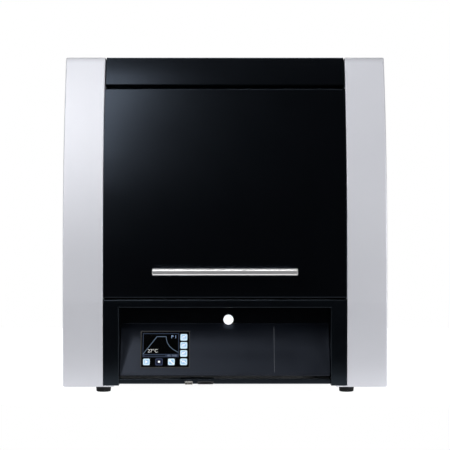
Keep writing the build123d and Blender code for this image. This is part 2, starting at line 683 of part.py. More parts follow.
def muffle_case():
    """Sheet-steel box round the insulation, open at the front, drilled for the elements and the sensor."""
    inner = MUFFLE_HALF - SHEET
    case = box((-MUFFLE_HALF, MUFFLE_HALF), (MUFFLE_FRONT_Y, MUFFLE_REAR_Y), (MUFFLE_BOTTOM, MUFFLE_TOP))
    inner_z = (MUFFLE_BOTTOM + SHEET, MUFFLE_TOP - SHEET)
    case -= box((-inner, inner), (MUFFLE_FRONT_Y - 1, MUFFLE_REAR_Y - SHEET), inner_z)
    through = (MUFFLE_TOP - SHEET - 1, MUFFLE_TOP + 1)
    for x, y in element_legs():
        case -= rod_z(x, y, through, ELEMENT_END_RADIUS + 2)
    case -= rod_z(0, EXHAUST_Y, through, EXHAUST_RADIUS + 1)
    return case - rod_y(0, (MUFFLE_REAR_Y - SHEET - 1, MUFFLE_REAR_Y + 1), SENSOR_Z, SENSOR_RADIUS + 1)


def mouth_frame():
    """Steel plate that closes the muffle's front round the chamber mouth."""
    y = (MUFFLE_FRONT_Y - SHEET, MUFFLE_FRONT_Y)
    half_width, half_height = 92.0, 87.0
    plate = box((-MUFFLE_HALF, MUFFLE_HALF), y, (MUFFLE_BOTTOM + 0.5, MUFFLE_TOP))
    opening = Pos(0, 0, CHAMBER_MIDDLE_Z) * box(
        (-half_width, half_width), (y[0] - 1, y[1] + 1), (-half_height, half_height)
    )
    return plate - fillet(opening.edges().filter_by(Axis.Y), 6)


def insulation_floor():
    """Fibre board under the chamber."""
    board = box(
        (-MUFFLE_HALF + SHEET, MUFFLE_HALF - SHEET),
        (MUFFLE_FRONT_Y, MUFFLE_REAR_Y - SHEET),
        (MUFFLE_BOTTOM + SHEET, CHAMBER_FLOOR),
    )
    return board - chamber_mouth()


def insulation_roof():
    """Fibre board over the chamber, drilled for the elements and the exhaust tube."""
    board = box(
        (-MUFFLE_HALF + SHEET, MUFFLE_HALF - SHEET),
        (MUFFLE_FRONT_Y, MUFFLE_REAR_Y - SHEET),
        (CHAMBER_ROOF, MUFFLE_TOP - SHEET),
    )
    board -= chamber_mouth()
    for x, y in element_legs():
        board -= rod_z(x, y, (CHAMBER_ROOF - 1, MUFFLE_TOP), ELEMENT_END_RADIUS + 1)
    return board - rod_z(0, EXHAUST_Y, (CHAMBER_ROOF - 1, MUFFLE_TOP), EXHAUST_RADIUS)


def insulation_side():
    """Fibre board on the chamber's right."""
    board = box(
        (CHAMBER_HALF_WIDTH, MUFFLE_HALF - SHEET),
        (MUFFLE_FRONT_Y, MUFFLE_REAR_Y - SHEET),
        (CHAMBER_FLOOR, CHAMBER_ROOF),
    )
    return board - chamber_mouth()


def insulation_rear():
    """Fibre board behind the chamber, with the sensor's hole."""
    board = box(
        (-CHAMBER_HALF_WIDTH, CHAMBER_HALF_WIDTH),
        (CHAMBER_REAR_Y, MUFFLE_REAR_Y - SHEET),
        (CHAMBER_FLOOR, CHAMBER_ROOF),
    )
    return board - rod_y(0, (CHAMBER_REAR_Y - 1, MUFFLE_REAR_Y), SENSOR_Z, SENSOR_RADIUS + 0.5)


def setter_plate():
    """Ceramic plate on the chamber's floor that carries the work."""
    half_width, length, thickness = 48.0, 120.0, 5.0
    middle_y = -90.0
    plate = Pos(0, middle_y, CHAMBER_FLOOR + thickness / 2) * Box(2 * half_width, length, thickness)
    return fillet(plate.edges().filter_by(Axis.Z), 6)


def heating_element(x, centre_y):
    """Hairpin element: a thin U in the chamber and two thick ends up through the roof."""
    half = ELEMENT_LEG_SPACING / 2
    joint_z = CHAMBER_ROOF + 8
    low = ELEMENT_BOTTOM + half
    front, rear = centre_y - half, centre_y + half
    path = Wire(
        [
            Edge.make_line((x, front, joint_z), (x, front, low)),
            Edge.make_three_point_arc((x, front, low), (x, centre_y, ELEMENT_BOTTOM), (x, rear, low)),
            Edge.make_line((x, rear, low), (x, rear, joint_z)),
        ]
    )
    section = Plane(origin=(x, front, joint_z), z_dir=(0, 0, -1)) * Circle(ELEMENT_RADIUS)
    hairpin = sweep(section, path=path)
    for y in (front, rear):
        hairpin += rod_z(x, y, (CHAMBER_ROOF - 4, ELEMENT_TOP), ELEMENT_END_RADIUS)
    return hairpin


def heating_elements():
    """Hairpin elements along both side walls."""
    return group([heating_element(x, y) for x in (-ELEMENT_X, ELEMENT_X) for y in ELEMENT_CENTRES_Y])


def element_holders():
    """Ceramic blocks on the muffle that hold each element's ends upright."""
    width, length = 24.0, 64.0
    bore_z = (MUFFLE_TOP - 1, MUFFLE_TOP + HOLDER_HEIGHT + 1)
    holders = []
    for x in (-ELEMENT_X, ELEMENT_X):
        for y in ELEMENT_CENTRES_Y:
            block = Pos(x, y, MUFFLE_TOP + HOLDER_HEIGHT / 2) * Box(width, length, HOLDER_HEIGHT)
            block = fillet(block.edges().filter_by(Axis.Z), 4)
            for end in (-ELEMENT_LEG_SPACING / 2, ELEMENT_LEG_SPACING / 2):
                block -= rod_z(x, y + end, bore_z, ELEMENT_END_RADIUS)
            holders.append(block)
    return group(holders)


def terminal_clamps():
    """Aluminium clamps on the elements' ends."""
    z = (MUFFLE_TOP + HOLDER_HEIGHT + 2, MUFFLE_TOP + HOLDER_HEIGHT + 16)
    clamps = []
    for x, y in element_legs():
        clamp = box((x - CLAMP_HALF, x + CLAMP_HALF), (y - CLAMP_HALF, y + CLAMP_HALF), z)
        clamps.append(clamp - rod_z(x, y, (z[0] - 1, z[1] + 1), ELEMENT_END_RADIUS))
    return group(clamps)


def power_bars():
    """Flat conductors that join the elements in a row and lead out to the sides."""
    z = (MUFFLE_TOP + HOLDER_HEIGHT + 6, MUFFLE_TOP + HOLDER_HEIGHT + 9)
    half = ELEMENT_LEG_SPACING / 2
    bar_half = 6.0
    lead_x = (138.0, 150.0)
    lead_rear_y = 120.0
    first, last = ELEMENT_CENTRES_Y
    near, far = first - half, last + half
    between_clamps = (first + half + CLAMP_HALF, last - half - CLAMP_HALF)
    bars = [box((x - bar_half, x + bar_half), between_clamps, z) for x in (-ELEMENT_X, ELEMENT_X)]
    inner_x = ELEMENT_X - CLAMP_HALF
    bars.append(box((-inner_x, inner_x), (far - bar_half, far + bar_half), z))
    lead = box((ELEMENT_X + CLAMP_HALF, lead_x[1]), (near - bar_half, near + bar_half), z)
    lead += box(lead_x, (near + bar_half, lead_rear_y), z)
    lead += box(lead_x, (lead_rear_y - 3, lead_rear_y), (MUFFLE_BOTTOM, z[0]))
    return group([*bars, lead, mirrored(lead)])


def thermocouple():
    """Ceramic sheath of the temperature sensor, through the rear wall into the chamber."""
    rod = rod_y(0, (CHAMBER_REAR_Y - 22, MUFFLE_REAR_Y + 12), SENSOR_Z, SENSOR_RADIUS)
    return fillet(rod.edges().filter_by(GeomType.CIRCLE).sort_by(Axis.Y)[0], SENSOR_RADIUS - 0.5)


def thermocouple_head():
    """Connection head of the sensor on the back of the muffle."""
    radius, depth = 16.0, 30.0
    head = rod_y(0, (MUFFLE_REAR_Y, MUFFLE_REAR_Y + depth), SENSOR_Z, radius)
    head = fillet(head.edges().filter_by(GeomType.CIRCLE).sort_by(Axis.Y)[-1], 3)
    return head - rod_y(0, (MUFFLE_REAR_Y - 1, MUFFLE_REAR_Y + 12), SENSOR_Z, SENSOR_RADIUS)


def exhaust_tube():
    """Ceramic tube that leads fumes from the chamber's roof to the vent holes."""
    z = (CHAMBER_ROOF, CASE_TOP - SHEET - 4)
    tube = rod_z(0, EXHAUST_Y, z, EXHAUST_RADIUS)
    tube += rod_z(0, EXHAUST_Y, (MUFFLE_TOP, MUFFLE_TOP + 5), EXHAUST_RADIUS + 5)
    return tube - rod_z(0, EXHAUST_Y, (z[0] - 1, z[1] + 1), EXHAUST_BORE_RADIUS)


# ---------------------------------------------------------------- electrics


def transformer_core():
    """Laminated core with two windows and a slot in each foot."""
    half_width, height, window_sill = 75.0, 120.0, 25.0
    foot_slot = (6.0, 16.0)
    core = box((-half_width, half_width), CORE_Y, (FLOOR_TOP, FLOOR_TOP + height))
    cut_y = (CORE_Y[0] - 1, CORE_Y[1] + 1)
    for side in (-1, 1):
        window = sorted((side * CORE_LEG_HALF, side * (half_width - window_sill)))
        core -= box(window, cut_y, (FLOOR_TOP + window_sill, FLOOR_TOP + height - window_sill))
        slot = sorted((side * (half_width - 20), side * (half_width + 1)))
        core -= box(slot, cut_y, (FLOOR_TOP + foot_slot[0], FLOOR_TOP + foot_slot[1]))
    return core


def transformer_coil():
    """Wound coil round the core's middle leg."""
    half_width, bulge = 47.0, 28.0
    z = (FLOOR_TOP + 27, FLOOR_TOP + 93)
    coil = box((-half_width, half_width), (CORE_Y[0] - bulge, CORE_Y[1] + bulge), z)
    coil = fillet(coil.edges().filter_by(Axis.Z), 20)
    leg = CORE_LEG_HALF + 0.5
    return coil - box((-leg, leg), (CORE_Y[0] - 0.5, CORE_Y[1] + 0.5), (z[0] - 1, z[1] + 1))


def heat_sink():
    """Finned aluminium cooler of the power controller."""
    base, fin_width, fin_depth, fin_pitch = 6.0, 2.0, 34.0, 6.8
    z = (FLOOR_TOP, FLOOR_TOP + 100)
    sink = box(COOLER_X, (COOLER_Y, COOLER_Y + base), z)
    for fin in range(11):
        x = COOLER_X[0] + fin * fin_pitch
        sink += box((x, x + fin_width), (COOLER_Y + base, COOLER_Y + base + fin_depth), z)
    return sink


def power_controller():
    """Power controller module bolted to its cooler, with a row of terminals."""
    depth, terminal_width, terminal_pitch = 40.0, 9.0, 14.0
    x = (COOLER_X[0] + 5, COOLER_X[1] - 5)
    z = (FLOOR_TOP + 10, FLOOR_TOP + 90)
    body = box(x, (COOLER_Y - depth, COOLER_Y), z)
    body = fillet(body.edges().filter_by(Axis.Y), 3)
    terminal_y = (COOLER_Y - depth - 1, COOLER_Y - depth + 12)
    for terminal in range(4):
        left = x[0] + 5 + terminal * terminal_pitch
        body -= box((left, left + terminal_width), terminal_y, (z[1] - 13, z[1] + 1))
    return body


def controller_board():
    """Main circuit board with its larger components."""
    thickness = 1.6
    top = FLOOR_TOP + STANDOFF_HEIGHT + thickness
    board = box(BOARD_X, BOARD_Y, (FLOOR_TOP + STANDOFF_HEIGHT, top))
    for left, front, width, length, height in (
        (10, 10, 30, 30, 14),
        (55, 20, 30, 30, 3),
        (100, 15, 25, 45, 10),
        (145, 10, 28, 70, 16),
        (10, 100, 55, 28, 12),
        (90, 100, 25, 20, 8),
    ):
        x, y = BOARD_X[0] + left, BOARD_Y[0] + front
        board += box((x, x + width), (y, y + length), (top, top + height))
    capacitor_radius, capacitor_height, capacitor_pitch = 5.0, 18.0, 14.0
    for index in range(5):
        x = BOARD_X[0] + 25 + index * capacitor_pitch
        board += rod_z(x, BOARD_Y[0] + 70, (top, top + capacitor_height), capacitor_radius)
    return board


def board_standoffs():
    """Pillars under the corners of the main board."""
    corners_x = (BOARD_X[0] + 6, BOARD_X[1] - 6)
    corners_y = (BOARD_Y[0] + 6, BOARD_Y[1] - 6)
    z = (FLOOR_TOP, FLOOR_TOP + STANDOFF_HEIGHT)
    return group([rod_z(x, y, z, 3.5) for x in corners_x for y in corners_y])


def fan_housing():
    """Square axial-fan frame with a motor hub on four arms."""
    y = (SIDE_REAR_Y - FAN_DEPTH, SIDE_REAR_Y)
    half = FAN_SIZE / 2
    hole_offset, hole_radius = 52.5, 2.2
    hub_radius, hub_depth = 22.0, 6.0
    frame = box((FAN_X - half, FAN_X + half), y, (FAN_Z - half, FAN_Z + half))
    frame = fillet(frame.edges().filter_by(Axis.Y), 5)
    frame -= rod_y(FAN_X, (y[0] - 1, y[1] + 1), FAN_Z, FAN_BORE_RADIUS)
    for x in (-hole_offset, hole_offset):
        for z in (-hole_offset, hole_offset):
            frame -= rod_y(FAN_X + x, (y[0] - 1, y[1] + 1), FAN_Z + z, hole_radius)
    frame += rod_y(FAN_X, (y[0], y[0] + hub_depth), FAN_Z, hub_radius)
    arm_middle = (hub_radius + FAN_BORE_RADIUS) / 2
    for angle in (45, 135, 225, 315):
        place = Pos(FAN_X, y[0] + hub_depth / 2, FAN_Z) * Rot(0, angle, 0) * Pos(arm_middle, 0, 0)
        frame += place * Box(FAN_BORE_RADIUS - hub_radius + 3, hub_depth, 5)
    return frame - rod_y(FAN_X, (y[0] + 1, y[0] + hub_depth + 1), FAN_Z, FAN_SHAFT_RADIUS + 0.05)


def fan_rotor():
    """Impeller: a hub on a short shaft, with pitched blades."""
    housing_y = SIDE_REAR_Y - FAN_DEPTH
    y = (housing_y + 7, SIDE_REAR_Y - 4)
    hub_radius, blade_thickness, blade_chord, pitch_angle = 21.0, 2.0, 30.0, 38.0
    blade_length = FAN_BORE_RADIUS - hub_radius - 2
    rotor = rod_y(FAN_X, y, FAN_Z, hub_radius)
    rotor = fillet(rotor.edges().filter_by(GeomType.CIRCLE).sort_by(Axis.Y)[-1], 2)
    rotor += rod_y(FAN_X, (housing_y + 1.5, y[0] + 2), FAN_Z, FAN_SHAFT_RADIUS)
    for blade in range(FAN_BLADES):
        turn = Pos(FAN_X, (y[0] + y[1]) / 2, FAN_Z) * Rot(0, blade * 360 / FAN_BLADES, 0)
        place = turn * Pos(hub_radius - 1.5 + blade_length / 2, 0, 0) * Rot(pitch_angle, 0, 0)
        rotor += place * Box(blade_length, blade_thickness, blade_chord)
    return rotor


def fan_guard():
    """Wire guard over the fan: rings on two crossed bars."""
    wire_radius, bar_radius, bar_length = 1.2, 1.3, 128.0
    y = COVER_REAR_Y + wire_radius
    centre = Pos(FAN_X, y, FAN_Z)
    guard = centre * Rot(90, 0, 0) * Torus(16, wire_radius)
    for radius in (28, 40, 52, 60):
        guard += centre * Rot(90, 0, 0) * Torus(radius, wire_radius)
    for angle in (45, 135):
        guard += Pos(0, 1.6, 0) * centre * Rot(0, angle, 0) * Rot(0, 90, 0) * Cylinder(bar_radius, bar_length)
    return guard


def mains_inlet():
    """Three-pin mains inlet: a flanged body with a socket and recessed pins."""
    flange_half, flange_depth = (24.0, 14.0), 3.0
    socket_half, corner = (12.2, 8.4), 4.0
    pin_half = (1.0, 2.2)
    body_front_y, socket_floor_y, pin_end_y = 276.0, 287.0, 299.0
    flange_rear_y = COVER_REAR_Y + flange_depth
    body = rear_block(INLET_X, MAINS_Z, INLET_BODY, (body_front_y, COVER_REAR_Y))
    flange = rear_block(INLET_X, MAINS_Z, flange_half, (COVER_REAR_Y, flange_rear_y))
    body += fillet(flange.edges().filter_by(Axis.Y), 3)
    socket = rear_block(INLET_X, MAINS_Z, socket_half, (socket_floor_y, flange_rear_y + 1))
    upper = [edge for edge in socket.edges().filter_by(Axis.Y) if edge.center().Z > MAINS_Z]
    body -= chamfer(upper, corner)
    for dx, dz in ((-7, -2), (0, 2.5), (7, -2)):
        body += rear_block(INLET_X + dx, MAINS_Z + dz, pin_half, (socket_floor_y - 1, pin_end_y))
    return body


def switch_frame():
    """Frame of the rear mains switch, open for its rocker."""
    flange_half, flange_depth = (15.5, 11.0), 2.0
    well_half = (11.5, 7.0)
    body_front_y, well_floor_y = 278.0, 284.0
    flange_rear_y = COVER_REAR_Y + flange_depth
    frame = rear_block(SWITCH_X, MAINS_Z, SWITCH_BODY, (body_front_y, COVER_REAR_Y))
    flange = rear_block(SWITCH_X, MAINS_Z, flange_half, (COVER_REAR_Y, flange_rear_y))
    frame += fillet(flange.edges().filter_by(Axis.Y), 1.5)
    frame -= rear_block(SWITCH_X, MAINS_Z, well_half, (well_floor_y, flange_rear_y + 1))
    pin_z = (MAINS_Z - well_half[1] - 1.5, MAINS_Z + well_half[1] + 1.5)
    return frame - rod_z(SWITCH_X, ROCKER_Y, pin_z, ROCKER_PIN_RADIUS + 0.05)


def mains_rocker():
    """Rocker of the mains switch on its cross pin, shown in its off position."""
    outline = [(-9.8, 8.0), (0, 7.0), (9.8, 8.0), (9.8, 3.0), (3.5, -3.0), (-3.5, -3.0), (-9.8, 3.0)]
    half_height, pin_length = 6.5, 16.4
    body = extrude(make_face(Polyline(*outline, close=True)), amount=half_height, both=True)
    place = Pos(SWITCH_X, ROCKER_Y, MAINS_Z) * Rot(0, 0, ROCKER_TILT)
    return place * (body + Cylinder(ROCKER_PIN_RADIUS, pin_length))


def door_magnets():
    """Magnets on the muffle's front plate that pull the closed door in."""
    return both_sides(rod_y(152, (DOOR_REAR_Y + 0.6, MUFFLE_FRONT_Y - SHEET), 185, 8))


def door_switch():
    """Switch on the muffle's front plate that the closed door presses."""
    body = box((140, 160), (DOOR_REAR_Y + 1.0, MUFFLE_FRONT_Y - SHEET), (455, 475))
    return fillet(body.edges().filter_by(Axis.Y), 2)


# ---------------------------------------------------------------- door


def door_block(x, inset, low, rear_y, step_z):
    """Door outline run along X: bowed front, rear corner rounded about the hinge line, stepped back."""
    reach = HINGE_OFFSET - inset
    top_z = HINGE_Z + reach
    top = (HINGE_Y, top_z)
    shoulder = (HINGE_Y + reach * math.sqrt(0.5), HINGE_Z + reach * math.sqrt(0.5))
    back = (HINGE_Y + reach, HINGE_Z)
    edges = front_edges(low, top_z, inset)
    edges += closed_lines([(0, front_y(top_z, inset), top_z), (0, *top)])
    edges.append(Edge.make_three_point_arc((0, *top), (0, *shoulder), (0, *back)))
    corners = [back, (back[0], step_z), (rear_y, step_z), (rear_y, low), (front_y(low, inset), low)]
    edges += closed_lines([(0, y, z) for y, z in corners])
    return prism_x(edges, x)


def door_skin():
    """Bowed outer sheet with its edges folded back."""
    outer = door_block((-DOOR_HALF, DOOR_HALF), 0, DOOR_BOTTOM, DOOR_REAR_Y, DOOR_STEP_Z + SHEET)
    outer = round_edges(outer, lambda c: c.Z < DOOR_BOTTOM + NEAR and c.Y < FRONT_Y + 1, 2.0)
    outer = round_edges(outer, lambda c: c.Z > DOOR_TOP - NEAR and c.Y < HINGE_Y - 5 and abs(c.X) < 1, 1.2)
    inner_x = DOOR_HALF - SHEET
    skin = outer - door_block((-inner_x, inner_x), SHEET, DOOR_BOTTOM + SHEET, DOOR_REAR_Y + 3, DOOR_STEP_Z)
    for side in (-1, 1):
        x = sorted((side * (DOOR_HALF - 5), side * (DOOR_HALF + 1)))
        skin -= rod_x(x, HINGE_Y, HINGE_Z, HINGE_PIN_RADIUS)
        skin -= rod_y(side * HANDLE_POST_X, (FRONT_Y - 1, FRONT_Y + 5), HANDLE_Z, 2.5)
    return skin


def door_pan():
    """Inner plate of the door, with the window that the insulation passes through."""
    inner_x = DOOR_HALF - SHEET
    pan = box((-inner_x, inner_x), (DOOR_REAR_Y - SHEET, DOOR_REAR_Y), (DOOR_BOTTOM + SHEET, DOOR_STEP_Z))
    window = box(
        (-PLUG_HALF_WIDTH, PLUG_HALF_WIDTH),
        (DOOR_REAR_Y - 5, DOOR_REAR_Y + 1),
        (CHAMBER_MIDDLE_Z - PLUG_HALF_HEIGHT, CHAMBER_MIDDLE_Z + PLUG_HALF_HEIGHT),
    )
    return pan - window


def door_insulation():
    """Fibre board that fills the door, with a tapered plug for the chamber mouth."""
    board = front_slab((-188, 188), (170, 462), 4, DOOR_REAR_Y - SHEET)
    for side in (-1, 1):
        board -= rod_y(side * HANDLE_POST_X, (FRONT_Y, FRONT_Y + 14), HANDLE_Z, 9)
    board += box(
        (-PLUG_HALF_WIDTH, PLUG_HALF_WIDTH),
        (DOOR_REAR_Y - SHEET, DOOR_REAR_Y),
        (CHAMBER_MIDDLE_Z - PLUG_HALF_HEIGHT, CHAMBER_MIDDLE_Z + PLUG_HALF_HEIGHT),
    )
    return board + mouth_frustum(DOOR_REAR_Y, PLUG_HALF_WIDTH, PLUG_HALF_HEIGHT, PLUG_DEPTH)


def door_seal():
    """Fibre gasket on the pan that closes on the muffle's front plate."""
    y = (DOOR_REAR_Y, DOOR_REAR_Y + 3.4)
    outer = box((-112, 112), y, (CHAMBER_MIDDLE_Z - 107, CHAMBER_MIDDLE_Z + 107))
    outer = fillet(outer.edges().filter_by(Axis.Y), 14)
    inner = box((-98, 98), (y[0] - 1, y[1] + 1), (CHAMBER_MIDDLE_Z - 93, CHAMBER_MIDDLE_Z + 93))
    return outer - fillet(inner.edges().filter_by(Axis.Y), 6)


def handle_bar():
    """Round bar across the door, with chamfered ends."""
    half = HANDLE_LENGTH / 2
    bar = rod_x((-half, half), HANDLE_Y, HANDLE_Z, HANDLE_DIAMETER / 2)
    return chamfer(bar.edges().filter_by(GeomType.CIRCLE), 0.8)


def handle_posts():
    """Posts between the bar and the door, each with its screw behind the skin."""
    post = rod_y(HANDLE_POST_X, (HANDLE_Y, FRONT_Y), HANDLE_Z, HANDLE_POST_DIAMETER / 2)
    post -= rod_x((0, 200), HANDLE_Y, HANDLE_Z, HANDLE_DIAMETER / 2)
    post += rod_y(HANDLE_POST_X, (FRONT_Y, FRONT_Y + SHEET), HANDLE_Z, 2.5)
    post += rod_y(HANDLE_POST_X, (FRONT_Y + SHEET, FRONT_Y + 5.5), HANDLE_Z, 4.5)
    return both_sides(post)


def hinge_pins():
    """Shouldered pins that stand out of the door's upper corners."""
    pin = rod_x((DOOR_HALF - 20, POST_INNER_X + 26), HINGE_Y, HINGE_Z, HINGE_PIN_RADIUS)
    pin += rod_x((DOOR_HALF - SHEET - 3, DOOR_HALF - SHEET), HINGE_Y, HINGE_Z, 9)
    return both_sides(pin)


def door_hinge_blocks():
    """Steel blocks inside the door's upper corners that carry the pins."""
    x = (DOOR_HALF - 20, DOOR_HALF - SHEET - 3)
    block = box(x, (HINGE_Y - 7.5, HINGE_Y + 7.5), (HINGE_Z - 18, HINGE_Z + 6.5))
    return both_sides(block - rod_x((x[0] - 1, x[1] + 1), HINGE_Y, HINGE_Z, HINGE_PIN_RADIUS))


# ---------------------------------------------------------------- output


def main():
    """Write one file for each sub-part."""
    right_panel = side_panel()
    right_board = insulation_side()
    nodes = {
        "left_side_panel": mirrored(right_panel),
        "right_side_panel": right_panel,
        "top_cover": top_cover(),
        "rear_cover": rear_cover(),
        "cover_screws": cover_screws(),
        "base_tray": base_tray(),
        "feet": feet(),
        "foot_screws": foot_screws(),
        "rear_spacers": rear_spacers(),
        "lower_fascia": lower_fascia(),
        "control_panel": control_panel(),
        "lower_lip": lower_lip(),
        "display_frame": display_frame(),
        "touch_screen": touch_screen(),
        "display_module": display_module(),
        "button_housing": button_housing(),
        "start_button": start_button(),
        "usb_socket": usb_socket(),
        "data_socket": data_socket(),
        "chassis_posts": chassis_posts(),
        "chassis_rails": chassis_rails(),
        "hinge_brackets": hinge_brackets(),
        "hinge_cartridges": hinge_cartridges(),
        "muffle_case": muffle_case(),
        "mouth_frame": mouth_frame(),
        "insulation_floor": insulation_floor(),
        "insulation_roof": insulation_roof(),
        "insulation_left": mirrored(right_board),
        "insulation_right": right_board,
        "insulation_rear": insulation_rear(),
        "setter_plate": setter_plate(),
        "heating_elements": heating_elements(),
        "element_holders": element_holders(),
        "terminal_clamps": terminal_clamps(),
        "power_bars": power_bars(),
        "thermocouple": thermocouple(),
        "thermocouple_head": thermocouple_head(),
        "exhaust_tube": exhaust_tube(),
        "transformer_core": transformer_core(),
        "transformer_coil": transformer_coil(),
        "heat_sink": heat_sink(),
        "power_controller": power_controller(),
        "controller_board": controller_board(),
        "board_standoffs": board_standoffs(),
        "fan_housing": fan_housing(),
        "fan_rotor": fan_rotor(),
        "fan_guard": fan_guard(),
        "mains_inlet": mains_inlet(),
        "switch_frame": switch_frame(),
        "mains_rocker": mains_rocker(),
        "door_magnets": door_magnets(),
        "door_switch": door_switch(),
        "door_skin": door_skin(),
        "door_pan": door_pan(),
        "door_insulation": door_insulation(),
        "door_seal": door_seal(),
        "handle_bar": handle_bar(),
        "handle_posts": handle_posts(),
        "hinge_pins": hinge_pins(),
        "door_hinge_blocks": door_hinge_blocks(),
    }
    os.makedirs("parts", exist_ok=True)
    for name, shape in nodes.items():
        export_step(shape, f"parts/{name}.step")
    print(f"{len(nodes)} nodes, hinge line at y {HINGE_Y:.3f}, z {HINGE_Z:.3f}")


main()
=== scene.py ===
"""Looks of a bench-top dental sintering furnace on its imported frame. Metres; the front faces -Y."""

import json
import math

import bmesh
import bpy
from mathutils import Matrix, Vector


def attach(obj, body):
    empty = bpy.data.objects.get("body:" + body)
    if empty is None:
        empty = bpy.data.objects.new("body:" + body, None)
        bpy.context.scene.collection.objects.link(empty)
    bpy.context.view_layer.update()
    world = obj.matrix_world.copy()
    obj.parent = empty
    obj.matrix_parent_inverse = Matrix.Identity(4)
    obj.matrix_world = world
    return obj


MM = 0.001

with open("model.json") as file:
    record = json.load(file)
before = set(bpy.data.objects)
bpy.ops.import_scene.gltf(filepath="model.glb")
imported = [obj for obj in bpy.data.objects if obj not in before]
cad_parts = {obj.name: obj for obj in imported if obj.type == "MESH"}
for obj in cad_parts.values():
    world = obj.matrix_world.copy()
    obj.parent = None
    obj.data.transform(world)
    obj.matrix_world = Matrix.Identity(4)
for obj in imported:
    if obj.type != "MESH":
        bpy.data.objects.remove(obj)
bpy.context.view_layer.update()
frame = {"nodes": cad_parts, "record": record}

# Places on the furnace, in millimetres, that materials and pieces follow.
TOP_HEIGHT = 560.0
SHOULDER_HEIGHT = 549.0  # where the side panels start to turn into their top, and where the painted shade on their front starts
CREASE_HEIGHT = 113.4  # where the sloping panel meets its upright back wall
CREASE_DEPTH = -230.0
SLOPE_FOOT_HEIGHT = 28.7
SLOPE_FOOT_DEPTH = -266.0
NICHE_LEFT = -174.6
MOUTH_HEIGHT = 330.0  # middle of the chamber's mouth

# ---------------------------------------------------------------- material helpers


class Surface:
    """A material round one Principled shader, with short ways to add and join its nodes."""

    def __init__(self, name, color, roughness, metallic=0.0):
        self.material = bpy.data.materials.new(name)
        self.material.use_nodes = True
        self.nodes = self.material.node_tree.nodes
        self.links = self.material.node_tree.links
        self.shader = self.nodes["Principled BSDF"]
        self.place = self.nodes.new("ShaderNodeTexCoord").outputs["Object"]
        self.normal = None
        self.set("Base Color", (*color, 1.0))
        self.set("Roughness", roughness)
        self.set("Metallic", metallic)

    def set(self, socket, value):
        """Give one of the shader's sockets a number, a colour or another node's output."""
        self.feed(self.shader.inputs[socket], value)

    def feed(self, socket, value):
        """Link value to a socket if it is an output, and otherwise store it there."""
        if isinstance(value, bpy.types.NodeSocket):
            self.links.new(value, socket)
        else:
            socket.default_value = value

    def stretched(self, scale):
        """Object coordinates stretched by a factor on each axis."""
        node = self.nodes.new("ShaderNodeMapping")
        node.inputs["Scale"].default_value = scale
        self.links.new(self.place, node.inputs["Vector"])
        return node.outputs["Vector"]

    def noise(self, scale, detail=2.0, rough=0.5, stretch=None, distortion=0.0):
        """Cloud-like noise with features of about 1 / scale metres."""
        node = self.nodes.new("ShaderNodeTexNoise")
        node.inputs["Scale"].default_value = scale
        node.inputs["Detail"].default_value = detail
        node.inputs["Roughness"].default_value = rough
        node.inputs["Distortion"].default_value = distortion
        self.links.new(self.stretched(stretch) if stretch else self.place, node.inputs["Vector"])
        return node.outputs["Fac"]

    def cells(self, scale, output="Distance", feature="F1", stretch=None):
        """Cell pattern with cells of about 1 / scale metres."""
        node = self.nodes.new("ShaderNodeTexVoronoi")
        node.feature = feature
        node.inputs["Scale"].default_value = scale
        self.links.new(self.stretched(stretch) if stretch else self.place, node.inputs["Vector"])
        return node.outputs[output]

    def remap(self, value, low, high, to_low=0.0, to_high=1.0, smooth=False):
        """Value carried from the range low to high over to another range, and clamped there."""
        node = self.nodes.new("ShaderNodeMapRange")
        node.interpolation_type = "SMOOTHSTEP" if smooth else "LINEAR"
        ends = {"From Min": low, "From Max": high, "To Min": to_low, "To Max": to_high}
        for socket, number in ends.items():
            node.inputs[socket].default_value = number
        self.links.new(value, node.inputs["Value"])
        return node.outputs["Result"]

    def axis(self, name):
        """One coordinate of the surface point."""
        node = self.nodes.new("ShaderNodeSeparateXYZ")
        self.links.new(self.place, node.inputs["Vector"])
        return node.outputs[name]

    def math(self, operation, first, second=0.0):
        """Arithmetic on one or two values."""
        node = self.nodes.new("ShaderNodeMath")
        node.operation = operation
        self.feed(node.inputs[0], first)
        self.feed(node.inputs[1], second)
        return node.outputs[0]

    def times(self, first, second):
        """Two values multiplied."""
        return self.math("MULTIPLY", first, second)

    def mix(self, factor, first, second, blend="MIX"):
        """Two colours mixed by a factor."""
        node = self.nodes.new("ShaderNodeMix")
        node.data_type = "RGBA"
        node.blend_type = blend
        self.feed(node.inputs["Factor"], factor)
        for socket, color in (("A", first), ("B", second)):
            target = [s for s in node.inputs if s.name == socket and s.type == "RGBA"][0]
            self.feed(target, (*color, 1.0) if isinstance(color, tuple) else color)
        return [s for s in node.outputs if s.type == "RGBA"][0]

    def bump(self, height, distance, strength=1.0):
        """Relief of a height map, on top of any relief added before."""
        node = self.nodes.new("ShaderNodeBump")
        node.inputs["Strength"].default_value = strength
        node.inputs["Distance"].default_value = distance
        self.links.new(height, node.inputs["Height"])
        if self.normal:
            self.links.new(self.normal, node.inputs["Normal"])
        self.normal = node.outputs["Normal"]
        self.set("Normal", self.normal)

    def soften_edges(self, radius):
        """Shading that rounds every edge by a radius, so that it catches light."""
        node = self.nodes.new("ShaderNodeBevel")
        node.samples = 6
        node.inputs["Radius"].default_value = radius
        self.normal = node.outputs["Normal"]
        self.set("Normal", self.normal)

    def varied_color(self, pattern, first, second, low=0.35, high=0.65):
        """Base colour that wanders between two tones with a pattern."""
        self.set("Base Color", self.mix(self.remap(pattern, low, high), first, second))

    def varied_roughness(self, pattern, first, second, low=0.35, high=0.65):
        """Roughness that wanders between two values with a pattern."""
        self.set("Roughness", self.remap(pattern, low, high, first, second))


# ---------------------------------------------------------------- casing materials


